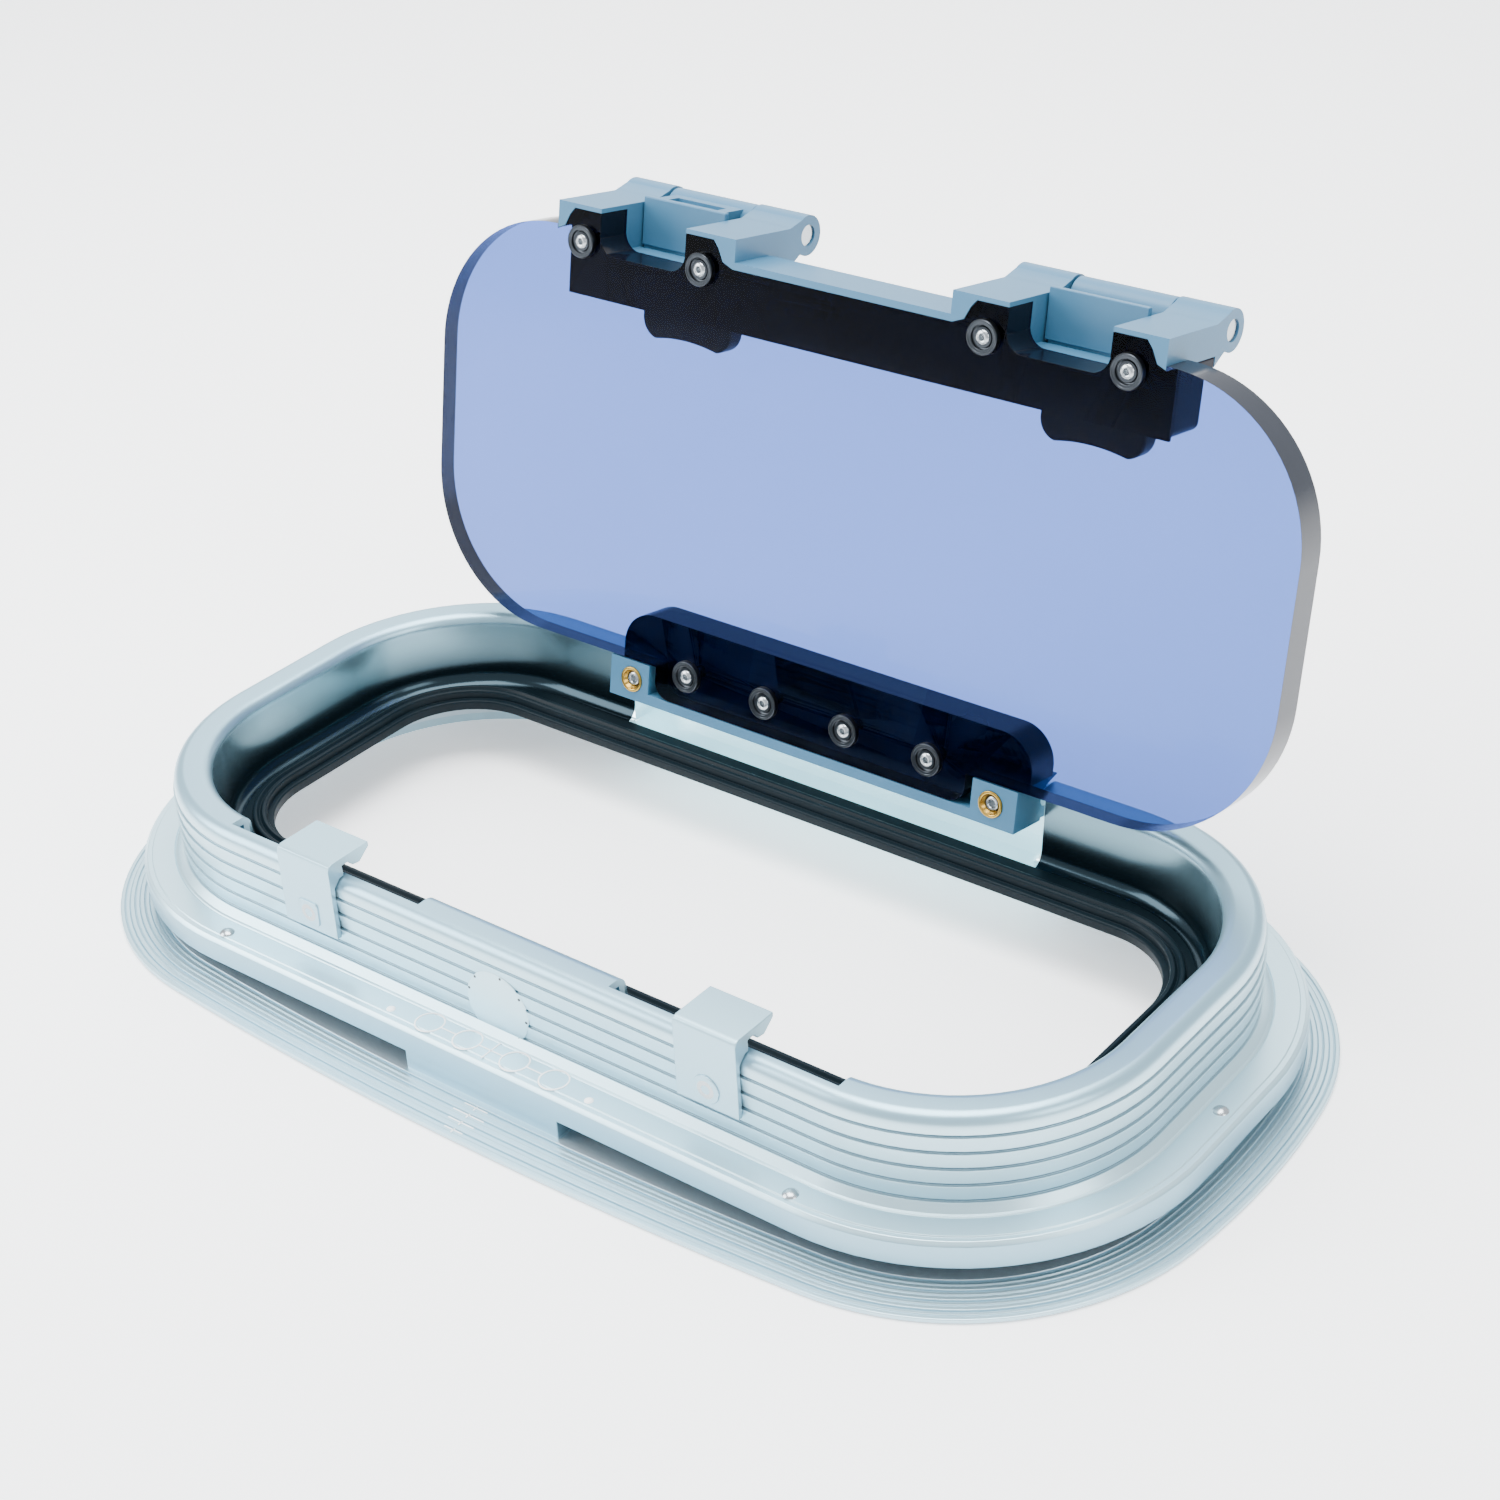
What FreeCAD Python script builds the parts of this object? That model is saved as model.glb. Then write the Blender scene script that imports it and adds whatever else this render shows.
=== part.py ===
import FreeCAD, Part
import math
import os

# Opening portlight, millimetres, +Z inboard (up), aperture centred on the Z axis,
# flange face on Z = 0. The lens hinges on the +Y side and latches on the -Y side.
# Pieces that swing with the lens are drawn shut, then opened by open_angle.

V = FreeCAD.Vector

# Frame wall, seen in plan as a rounded rectangle
wall_half_x = 180.0
wall_half_y = 86.6
wall_corner = 66.0
wall_thick = 2.0
rim_z = 48.5
rim_round = 4.0
lip_width = 12.6
lip_thick = 2.5
cavity_gap = 7.6
rib_depth = 0.6
rib_count = 5
rib_top_z = 42.2
rib_pitch = 5.4

# Ring round the foot of the wall, channel under it and flange
ring_out = 13.9
ring_top_z = 18.2
ring_bottom_z = 9.5
ring_bevel = 1.2
ring_line_in = 3.0
ring_line_step = 0.3
foot_run = 3.0
foot_rise = 2.2
channel_depth = 9.9
flange_half_x = 203.5
flange_half_y = 115.5
flange_bow_x = 260.0
flange_bow_y = 1450.0
flange_corner = 86.0
flange_edge = 1.2
flange_step_rise = 0.5
flange_step_run = 3.3
flange_step_count = 4
key_half_x = 30.0
gasket_width = 2.0

# Ledge that carries the seal, and the space under it
ledge_inset = 32.0
port_end_inset = 28.5
port_corner = 30.0
ledge_top_z = 22.9
ledge_thick = 2.0
under_inset = 2.0
throat_flare = 4.6
throat_flare_rise = 5.6
throat_draft = 1.8

# Seal
seal_outer_inset = 19.0
seal_wrap = 1.5
seal_sheet = 0.8
seal_lap = 3.0
seal_pad_gap = 0.6
seal_pad_width = 4.6
seal_height = 3.8
seal_groove = 1.1

# Cut-outs in the lip: two on the latch side, one on the hinge side
latch_x = 77.4
cutout_inner_x = 37.0
cutout_outer_x = 117.3
shoulder_inset = 5.2
recess_side_gap = 1.5
recess_wall = 2.0
recess_corner = 4.0
recess_top_z = 46.0

# Lens, drawn shut: s runs from its hinge edge, depth from its underside
lens_half_x = 162.6
lens_width = 140.0
lens_thick = 12.0
lens_corner = 48.0
lens_edge_y = 69.0
seal_clearance = 0.3
tongue_side_gap = 2.7
tongue_drop = 10.6
tongue_corner = 6.0
tongue_root = 20.0

# Hinge
bracket_half_x = 62.0
hinge_side_gap = 3.0
arm_width = 16.5
open_angle = 100.87
pin_s = -7.2
pin_depth = 17.0
pin_r = 2.5
fit_gap = 0.05
knuckle_r = 4.0
barrel_r = 6.4
arm_inner_x = bracket_half_x + hinge_side_gap
arm_outer_x = arm_inner_x + arm_width
arm_bottom_s = -14.5
arm_top_s = -0.5
strip_thick = 3.6
leaf_thick = 13.0
leaf_top_s = 14.5
leaf_corner = 12.0
leaf_foot_s = -2.6
plate_thick = 3.0
plate_top_s = 12.0
carrier_screw_bite = 6.5
bracket_knuckle = 24.0
bracket_plate = 3.4
bracket_bottom_z = 40.0
bracket_top_z = 46.5

# Fasteners
screw_r = 2.0
washer_r = 5.4
washer_thick = 2.2
head_r = 3.4
head_height = 2.0
head_sink = 1.0
face_head_height = 1.3
socket_r = 1.3
socket_depth = 1.4
leaf_screw_pitch = 32.2
leaf_screw_s = 0.8
insert_r = 4.4
insert_depth = 7.0
grub_r = 2.4

# Handle end of the lens
tower_top_s = lens_width + 6.2
rail_seat_s = lens_width - 1.8
rail_top_s = lens_width + 0.6
hood_top_s = lens_width + 7.8
hood_inner_x = 40.5
hood_outer_x = 113.3
pocket_inner_x = 60.3
pocket_outer_x = 95.3
pocket_floor_s = lens_width - 6.8
pocket_corner = 6.0
tower_width = 11.0
tower_flare = 8.0
handle_screw_s = lens_width - 3.7
handle_screw_x = (53.1, 102.0)
gasket_thick = 1.0
bar_bottom_s = lens_width - 10.0
base_height = 13.4
base_bottom_s = bar_bottom_s - base_height
base_depth = 29.0
base_end = 2.5
seat_gap = 0.15

# Levers
lever_pin_s = lens_width + 4.5
lever_pin_depth = 38.0
lever_pin_r = 3.5
lever_barrel_r = 6.2
ear_r = 6.6
lever_gap = 0.6
claw_depth = 20.5
claw_plate = 2.0
claw_tip_s = lens_width + 10.0
claw_heel_s = lens_width - 6.0
claw_web = 3.0
scoop_gap = 0.6
grip_half_x = 18.4
grip_start_s = lens_width - 11.0
grip_length = 26.5
grip_end_s = grip_start_s - grip_length
grip_corner = 7.0
grip_hollow_r = 60.0
grip_hollow = 1.5
neck_length = 12.0
neck_inset = 6.0
neck_gap = 2.5
grip_thick = 7.0
grip_gap = 1.0

# Strikes on the latch side
strike_half_x = 11.0
strike_plate = 1.8
strike_bottom_z = 28.7
strike_top_z = 55.0
strike_arm = 2.6
strike_reach_y = 71.6
strike_hook = 2.4
strike_screw_z = 34.8
strike_head_r = 3.6

# Smooth disc on the wall's latch side
pad_x = -2.5
pad_z = 28.5
pad_r = 12.0

# Plugs in the ring
plug_r = 2.4
plug_height = 1.0
plug_x = 110.5
plug_offset = 9.0
plug_end_offset = 7.6

# Derived places
tongue_half_x = arm_inner_x - tongue_side_gap
recess_half_x = arm_outer_x + recess_side_gap
lens_z = ledge_top_z + seal_height + seal_clearance
pin_y = lens_edge_y - pin_s
pin_z = lens_z + pin_depth
lever_y = lens_edge_y - lever_pin_s
lever_z = lens_z + lever_pin_depth
lens_back = lens_thick


def box(x0, x1, y0, y1, z0, z1):
    return Part.makeBox(x1 - x0, y1 - y0, z1 - z0, V(x0, y0, z0))


def lens_box(x0, x1, s0, s1, d0, d1):
    # Box in lens terms: s from the hinge edge, d from the underside, lens shut
    return box(x0, x1, lens_edge_y - s1, lens_edge_y - s0, lens_z + d0, lens_z + d1)


def rod_x(x0, x1, y, z, r):
    return Part.makeCylinder(r, x1 - x0, V(x0, y, z), V(1, 0, 0))


def rod_z(x, y, z0, z1, r):
    return Part.makeCylinder(r, z1 - z0, V(x, y, z0), V(0, 0, 1))


def rod_y(x, y0, y1, z, r):
    return Part.makeCylinder(r, y1 - y0, V(x, y0, z), V(0, 1, 0))


def prism_x(points, x0, x1):
    # Closed outline of (y, z) points drawn out along X
    corners = [V(x0, y, z) for y, z in points]
    wire = Part.makePolygon(corners + [corners[0]])
    return Part.Face(wire).extrude(V(x1 - x0, 0, 0))


def lens_prism_x(points, x0, x1):
    # The same, from (s, d) points with the lens shut
    return prism_x([(lens_edge_y - s, lens_z + d) for s, d in points], x0, x1)


def fuse(shapes):
    first = shapes[0]
    if len(shapes) > 1:
        first = first.multiFuse(shapes[1:])
    return first.removeSplitter()


def round_rect(half_x, half_y, corner, z, centre_y=0.0):
    r = corner
    x, y = half_x - r, half_y - r
    diag = r * math.sqrt(0.5)
    edges = []
    for sx, sy in ((1, 1), (-1, 1), (-1, -1), (1, -1)):
        a = V(sx * (x + r), centre_y + sy * y, z)
        m = V(sx * (x + diag), centre_y + sy * (y + diag), z)
        b = V(sx * x, centre_y + sy * (y + r), z)
        if sx * sy < 0:
            a, b = b, a
        edges.append((a, m, b))
    lines = []
    for i, (a, m, b) in enumerate(edges):
        following = edges[(i + 1) % 4][0]
        lines.append(Part.Arc(a, m, b).toShape())
        if b.distanceToPoint(following) > 1e-6:
            lines.append(Part.LineSegment(b, following).toShape())
    return Part.Wire(lines)


def wall_wire(inset, z):
    return round_rect(wall_half_x - inset, wall_half_y - inset, wall_corner - inset, z)


def wall_band(inset, z0, z1):
    return Part.Face(wall_wire(inset, z0)).extrude(V(0, 0, z1 - z0))


def port_band(grow, z0, z1):
    # Outline of the clear opening, widened by grow
    half_x, half_y = wall_half_x - port_end_inset + grow, wall_half_y - ledge_inset + grow
    return Part.Face(round_rect(half_x, half_y, port_corner + grow, z0)).extrude(V(0, 0, z1 - z0))


def wall_taper(inset0, z0, inset1, z1):
    return Part.makeLoft([wall_wire(inset0, z0), wall_wire(inset1, z1)], True, True)


def quarter(start_inset, start_z, radius, side, steps=4):
    # Points of a quarter round that ends level, side +1 grows the inset
    points = []
    for i in range(steps + 1):
        a = math.radians(90.0 * i / steps)
        points.append((start_inset + side * radius * (1 - math.cos(a)), start_z + radius * math.sin(a)))
    return points


def flange_wire(inset, z):
    # Sides are large arcs, corners are arcs tangent to them
    ry, rx, r = flange_bow_y - inset, flange_bow_x - inset, flange_corner - inset
    cy = flange_half_y - flange_bow_y
    cx = flange_half_x - flange_bow_x
    d = math.hypot(cx, cy)
    p, q = ry - r, rx - r
    along = (p * p - q * q + d * d) / (2 * d)
    off = math.sqrt(p * p - along * along)
    ux, uy = cx / d, -cy / d
    kx = ux * along + uy * off
    ky = cy + uy * along - ux * off
    if kx < 0:
        kx = ux * along - uy * off
        ky = cy + uy * along + ux * off
    ta = V(kx, ky - cy, 0).normalize()
    tb = V(kx - cx, ky, 0).normalize()
    long_end = V(0, cy, 0) + ta * ry
    short_end = V(cx, 0, 0) + tb * rx
    mid_dir = (ta + tb).normalize()
    corner_mid = V(kx, ky, 0) + mid_dir * r

    def at(point, sx, sy):
        return V(sx * point.x, sy * point.y, z)

    top = V(0, cy + ry, 0)
    side = V(cx + rx, 0, 0)
    lines = [
        Part.Arc(at(long_end, -1, 1), at(top, 1, 1), at(long_end, 1, 1)),
        Part.Arc(at(long_end, 1, 1), at(corner_mid, 1, 1), at(short_end, 1, 1)),
        Part.Arc(at(short_end, 1, 1), at(side, 1, 1), at(short_end, 1, -1)),
        Part.Arc(at(short_end, 1, -1), at(corner_mid, 1, -1), at(long_end, 1, -1)),
        Part.Arc(at(long_end, 1, -1), at(top, 1, -1), at(long_end, -1, -1)),
        Part.Arc(at(long_end, -1, -1), at(corner_mid, -1, -1), at(short_end, -1, -1)),
        Part.Arc(at(short_end, -1, -1), at(side, -1, 1), at(short_end, -1, 1)),
        Part.Arc(at(short_end, -1, 1), at(corner_mid, -1, 1), at(long_end, -1, 1)),
    ]
    return Part.Wire([line.toShape() for line in lines])


def flange():
    layers = []
    for i in range(flange_step_count + 1):
        inset = i * flange_step_run
        top = flange_edge + i * flange_step_rise
        layers.append(Part.Face(flange_wire(inset, 0)).extrude(V(0, 0, top)))
    return fuse(layers)


def ribbed_wall():
    # Each lap leans out as it rises, then steps back in, which leaves a fine ledge
    crown = rim_z - rim_round
    steps = [rib_top_z - i * rib_pitch for i in range(rib_count)]
    levels = [crown] + steps + [ring_top_z]
    tiers = []
    for z1, z0 in zip(levels, levels[1:]):
        top = 0.0 if z1 == crown else -rib_depth
        tiers.append(wall_taper(0.0, z0, top, z1))
    profile = quarter(0.0, crown, rim_round, 1)
    for (i0, z0), (i1, z1) in zip(profile, profile[1:]):
        tiers.append(wall_taper(i0, z0, i1, z1))
    return fuse(tiers)


def ring():
    # Flat seat with a fine line near its outer edge, and a narrow neck under it
    top = ring_top_z
    bands = [wall_band(-ring_out, ring_bottom_z, top - ring_bevel - ring_line_step)]
    bands.append(wall_taper(-ring_out, top - ring_bevel - ring_line_step, ring_bevel - ring_out,
                            top - ring_line_step))
    bands.append(wall_band(ring_line_in - ring_out, ring_bottom_z, top))
    bands.append(wall_taper(-foot_run, top, -rib_depth, top + foot_rise))
    bands.append(wall_band(channel_depth - ring_out, 0.0, ring_bottom_z))
    key_y = wall_half_y + ring_out
    bands.append(box(-key_half_x, key_half_x, -key_y, -key_y + channel_depth + 1.0, flange_edge,
                     ring_bottom_z))
    return fuse(bands)


def channel_gasket():
    # Strip that lines the neck between the ring and the flange
    z0 = flange_edge + flange_step_count * flange_step_rise
    neck = channel_depth - ring_out
    band = wall_band(neck - gasket_width, z0, ring_bottom_z)
    band = band.cut(wall_band(neck, z0 - 1.0, ring_bottom_z + 1.0))
    y = -wall_half_y
    return band.cut(box(-key_half_x, key_half_x, y - ring_out - 1.0, y, z0 - 1.0, ring_bottom_z + 1.0))


def chamber():
    # Space the lens drops into: rounded lip, drafted throat, flare to the ledge
    lip = quarter(lip_width, rim_z - rim_round, rim_round, -1)
    flare_top_z = ledge_top_z + throat_flare_rise
    draft_inset = lip_width + throat_draft
    angles = [math.radians(a) for a in (90, 60, 30, 0)]
    points = [(draft_inset + throat_flare * (1 - math.cos(a)), flare_top_z - throat_flare_rise * math.sin(a))
              for a in angles]
    points += lip
    tiers = []
    for (i0, z0), (i1, z1) in zip(points, points[1:]):
        tiers.append(wall_taper(i0, z0, i1, z1))
    top_inset = points[-1][0]
    tiers.append(wall_band(top_inset, rim_z, rim_z + 1.0))
    return fuse(tiers)


def recess():
    # Hinge recess: through the lip and throat, shallow corners at its floor
    y0, y1 = wall_half_y - ledge_inset, wall_half_y - recess_wall
    z1 = rim_z + 1.0
    flat = box(-recess_half_x, recess_half_x, y0, y1, ledge_top_z, z1)
    low = []
    for e in flat.Edges:
        middle = e.CenterOfMass
        if abs(middle.z - ledge_top_z) < 1e-6 and abs(abs(middle.x) - recess_half_x) < 1e-6:
            low.append(e)
    notch = box(-recess_half_x, recess_half_x, y0, wall_half_y + 2.0, recess_top_z, z1)
    return flat.makeFillet(recess_corner, low).fuse(notch)


def bracket_screw_places():
    x = bracket_half_x - bracket_knuckle / 2
    return [-x, -x / 3, x / 3, x]


def bracket_screw_z():
    return (bracket_bottom_z + bracket_top_z) / 2


def frame():
    pad = rod_y(pad_x, -wall_half_y - rib_depth, -wall_half_y + wall_thick, pad_z, pad_r)
    body = fuse([flange(), ring(), ribbed_wall(), pad])
    ledge_bottom = ledge_top_z - ledge_thick
    cut = [chamber(), port_band(0.0, ledge_bottom - 1.0, ledge_top_z + 1.0)]
    cut.append(wall_band(under_inset, -1.0, ledge_bottom))
    cavity = wall_band(wall_thick, ledge_top_z, rim_z - lip_thick)
    cavity = cavity.cut(wall_taper(wall_thick + cavity_gap + throat_draft, ledge_top_z - 1.0,
                                   wall_thick + cavity_gap, rim_z))
    cut.append(cavity)
    for x0, x1 in mirrored_spans(cutout_inner_x, cutout_outer_x):
        y0, y1 = -(wall_half_y - shoulder_inset), -(wall_half_y - ledge_inset)
        cut.append(box(x0, x1, y0, y1, ledge_top_z, rim_z + 1))
    for side in (-1, 1):
        cut.append(rod_y(side * latch_x, -wall_half_y - 2.0, -wall_half_y + wall_thick + 1.0, strike_screw_z,
                         screw_r + fit_gap))
    cut.append(recess())
    for x in bracket_screw_places():
        cut.append(rod_y(x, wall_half_y - recess_wall - 1.0, wall_half_y + 2.0, bracket_screw_z(),
                         screw_r + fit_gap))
    for x, y in plug_places():
        cut.append(rod_z(x, y, ring_top_z - 4.0, ring_top_z + 1.0, plug_r * 0.6 + fit_gap))
    for piece in cut:
        body = body.cut(piece)
    return body.removeSplitter()


def seal():
    # Thin sheet on the ledge, wrapped round its edge, with a grooved pad the lens lands on
    sheet_top = ledge_top_z + seal_sheet
    pad_top = ledge_top_z + seal_height
    low = ledge_top_z - ledge_thick - seal_sheet
    pad_out = seal_pad_gap + seal_pad_width
    sheet = wall_band(seal_outer_inset, ledge_top_z, sheet_top)
    edge = port_band(0.0, low, ledge_top_z)
    under = port_band(seal_lap, low, low + seal_sheet)
    pad = port_band(pad_out, sheet_top, pad_top)
    body = fuse([sheet, edge, under, pad]).cut(port_band(-seal_wrap, low - 1.0, sheet_top))
    body = body.cut(port_band(seal_pad_gap, sheet_top, pad_top + 1.0))
    mid = seal_pad_gap + seal_pad_width / 2
    groove = port_band(mid + seal_groove, pad_top - seal_groove, pad_top + 1.0)
    return body.cut(groove.cut(port_band(mid - seal_groove, pad_top - seal_groove - 1.0, pad_top + 2.0)))


def plug_places():
    y = wall_half_y + plug_offset
    x = wall_half_x + plug_end_offset
    return [(-plug_x, -y), (plug_x, -y), (-plug_x, y), (plug_x, y), (-x, 0.0), (x, 0.0)]


def ring_plugs():
    plugs = []
    for x, y in plug_places():
        cap = Part.makeCone(plug_r, plug_r * 0.6, plug_height, V(x, y, ring_top_z), V(0, 0, 1))
        stem = rod_z(x, y, ring_top_z - 3.5, ring_top_z, plug_r * 0.6)
        plugs.append(fuse([cap, stem]))
    return Part.makeCompound(plugs)


def strike(side):
    face = wall_half_y + rib_depth
    outer = face + strike_plate
    over = wall_half_y - rim_round + 0.4
    rise = rim_z + fit_gap * 6
    hook_y = strike_reach_y
    under = strike_top_z - strike_arm
    points = [
        (-outer, strike_bottom_z),
        (-outer, strike_top_z - 2.0),
        (-outer + 0.6, strike_top_z - 0.6),
        (-outer + 2.0, strike_top_z),
        (-hook_y, strike_top_z),
        (-hook_y, strike_top_z - 1.6),
        (-hook_y - 4.4, under - strike_hook),
        (-hook_y - 7.1, under - strike_hook + 0.4),
        (-hook_y - 9.0, under),
        (-over - 0.2, under),
        (-over, rise),
        (-wall_half_y + 2.0, rise),
        (-face, rise - 2.6),
        (-face, strike_bottom_z),
    ]
    x0, x1 = side * latch_x - strike_half_x, side * latch_x + strike_half_x
    body = prism_x(points, x0, x1)
    body = body.cut(strike_screw(side, fit_gap))
    return body.removeSplitter()


def strike_screw(side, grow=0.0):
    outer = wall_half_y + rib_depth + strike_plate
    x = side * latch_x
    head = Part.makeCone(strike_head_r + grow, screw_r + grow, strike_plate, V(x, -outer, strike_screw_z),
                         V(0, 1, 0))
    shank = rod_y(x, -outer, -wall_half_y + wall_thick - 0.4, strike_screw_z, screw_r + grow)
    return fuse([head, shank])


def strike_screws():
    outer = wall_half_y + rib_depth + strike_plate
    screws = []
    for side in (-1, 1):
        socket = rod_y(side * latch_x, -outer - 0.1, -outer + socket_depth, strike_screw_z, socket_r)
        screws.append(strike_screw(side).cut(socket))
    return Part.makeCompound(screws)


def hinge_bracket():
    wall_y = wall_half_y - recess_wall
    plate = box(-bracket_half_x, bracket_half_x, wall_y - bracket_plate, wall_y, bracket_bottom_z,
                bracket_top_z)
    parts = [plate]
    places = (-bracket_half_x, -bracket_knuckle / 2, bracket_half_x - bracket_knuckle)
    for x in places:
        x1 = x + bracket_knuckle
        parts.append(rod_x(x, x1, pin_y, pin_z, knuckle_r))
        parts.append(box(x, x1, pin_y, wall_y, pin_z - 3.0, min(pin_z + 2.5, bracket_top_z)))
    body = fuse(parts)
    body = body.cut(rod_x(-bracket_half_x - 1, bracket_half_x + 1, pin_y, pin_z, pin_r))
    for x in bracket_screw_places():
        body = body.cut(rod_y(x, wall_y - bracket_plate - 1.0, wall_y + 1.0, bracket_screw_z(),
                              screw_r + fit_gap))
    return body.removeSplitter()


def bracket_screws():
    screws = []
    face = wall_half_y + rib_depth
    for x in bracket_screw_places():
        head = rod_y(x, face, face + head_height, bracket_screw_z(), head_r)
        shank = rod_y(x, wall_half_y - recess_wall - bracket_plate + 0.4, face, bracket_screw_z(), screw_r)
        socket = rod_y(x, face + head_height - socket_depth, face + head_height + 0.1, bracket_screw_z(),
                       socket_r)
        screws.append(fuse([head, shank]).cut(socket))
    return Part.makeCompound(screws)


def hinge_pin():
    return rod_x(-arm_outer_x, arm_outer_x, pin_y, pin_z, pin_r)


def mirrored_spans(inner, outer):
    return [(-outer, -inner), (inner, outer)]


def leaf_screw_x():
    return [leaf_screw_pitch * (i - 1.5) for i in range(4)]


def handle_screw_all_x():
    return [side * x for side in (-1, 1) for x in handle_screw_x]


def pocket_cut(d0, d1):
    # Finger pockets in the lens edge, rounded at the floor
    cuts = []
    for x0, x1 in mirrored_spans(pocket_inner_x, pocket_outer_x):
        block = lens_box(x0, x1, pocket_floor_s, hood_top_s + 10.0, d0, d1)
        floor_y = lens_edge_y - pocket_floor_s
        edges = [e for e in block.Edges
                 if abs(e.CenterOfMass.y - floor_y) < 1e-6 and min(abs(e.CenterOfMass.x - x0),
                                                                 abs(e.CenterOfMass.x - x1)) < 1e-6]
        cuts.append(block.makeFillet(pocket_corner, edges))
    return cuts


def tower_outline(grow, d0, d1):
    # Four towers of the lens that stand up into the hoods; their outer sides flare at the foot
    towers = []
    top = tower_top_s + grow
    foot = rail_seat_s + grow
    inner_side = pocket_inner_x + grow
    outer_side = pocket_outer_x - grow
    inner_tip = pocket_inner_x - tower_width - grow
    outer_tip = pocket_outer_x + tower_width + grow
    for sign in (-1, 1):
        for base, tip, direction in ((inner_side, inner_tip, -1), (outer_side, outer_tip, 1)):
            points = [V(sign * base, lens_edge_y - bar_bottom_s, lens_z + d0),
                      V(sign * base, lens_edge_y - top, lens_z + d0),
                      V(sign * tip, lens_edge_y - top, lens_z + d0),
                      V(sign * (tip + direction * tower_flare * 0.25),
                        lens_edge_y - top + tower_flare * 0.3, lens_z + d0),
                      V(sign * (tip + direction * tower_flare * 0.5),
                        lens_edge_y - foot - tower_flare * 0.2, lens_z + d0),
                      V(sign * (tip + direction * tower_flare), lens_edge_y - foot, lens_z + d0),
                      V(sign * (tip + direction * tower_flare), lens_edge_y - bar_bottom_s, lens_z + d0)]
            wire = Part.makePolygon(points + [points[0]])
            towers.append(Part.Face(wire).extrude(V(0, 0, d1 - d0)))
    return towers


def lens_plate(grow, d0, d1, bottom_s=0.0):
    # Lens outline between two depths; grow widens it for what fits round it
    half_y = lens_width / 2
    centre = lens_edge_y - half_y
    outline = round_rect(lens_half_x, half_y, lens_corner, lens_z + d0, centre)
    plate = Part.Face(outline).extrude(V(0, 0, d1 - d0))
    step_x = hood_outer_x + 0.2 - grow
    plate = plate.cut(lens_box(-step_x, step_x, rail_seat_s + grow, lens_width + 5.0, d0 - 1, d1 + 1))
    plate = plate.multiFuse(tower_outline(grow, d0, d1))
    for cut in pocket_cut(d0 - 1, d1 + 1):
        plate = plate.cut(cut)
    return plate


def rounded_block(x_half, s0, s1, corner, at_s, d0, d1):
    # Block across the lens with its two corners at at_s rounded
    block = lens_box(-x_half, x_half, s0, s1, d0, d1)
    y = lens_edge_y - at_s
    edges = [e for e in block.Edges
             if abs(e.CenterOfMass.y - y) < 1e-6 and abs(abs(e.CenterOfMass.x) - x_half) < 1e-6]
    return block.makeFillet(corner, edges)


def lens():
    plate = lens_plate(0.0, 0.0, lens_thick)
    tongue = rounded_block(tongue_half_x, -tongue_drop, tongue_root, tongue_corner, -tongue_drop, 0.0,
                           lens_thick)
    body = fuse([plate, tongue])
    for x in leaf_screw_x():
        body = body.cut(rod_z(x, lens_edge_y - leaf_screw_s, lens_z - 1, lens_z + lens_thick + 1,
                              screw_r + fit_gap))
    for x in handle_screw_all_x():
        body = body.cut(rod_z(x, lens_edge_y - handle_screw_s, lens_z - 1, lens_z + lens_thick + 1,
                              screw_r + fit_gap))
    return body.removeSplitter()


def hinge_leaf():
    d0, d1 = lens_thick, lens_thick + leaf_thick
    top = rounded_block(arm_outer_x, arm_top_s, leaf_top_s, leaf_corner, leaf_top_s, d0, d1)
    foot = lens_prism_x([(arm_top_s, d0), (leaf_foot_s, d0), (leaf_foot_s, d1 - 4.0), (arm_top_s, d1 - 1.0)],
                        -tongue_half_x, tongue_half_x)
    skirt = rounded_block(tongue_half_x, -tongue_drop, arm_top_s, tongue_corner - 1.0, -tongue_drop, d0,
                          d0 + 0.5)
    body = fuse([top, foot, skirt])
    for x in leaf_screw_x():
        body = body.cut(rod_z(x, lens_edge_y - leaf_screw_s, lens_z + d0 - 1, lens_z + d1 - 3.0,
                              screw_r + fit_gap))
    for x in carrier_screw_x():
        body = body.cut(rod_z(x, carrier_screw_y(), lens_z + d1 - carrier_screw_bite - 0.5, lens_z + d1 + 1,
                              screw_r + fit_gap))
    return body.removeSplitter()


def carrier_screw_x():
    x = arm_inner_x - 1.5 * screw_r - 2.0
    return [-x, -x / 3, x / 3, x]


def carrier_screw_y():
    return lens_edge_y - (plate_top_s + 2.0) / 2


def insert_cut(x, grow):
    y = lens_edge_y - pin_s
    return rod_z(x, y, lens_z - 1.0, lens_z + insert_depth, insert_r + grow)


def insert_x():
    mid = (arm_inner_x + arm_outer_x) / 2 - 1.0
    return [-mid, mid]


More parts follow.
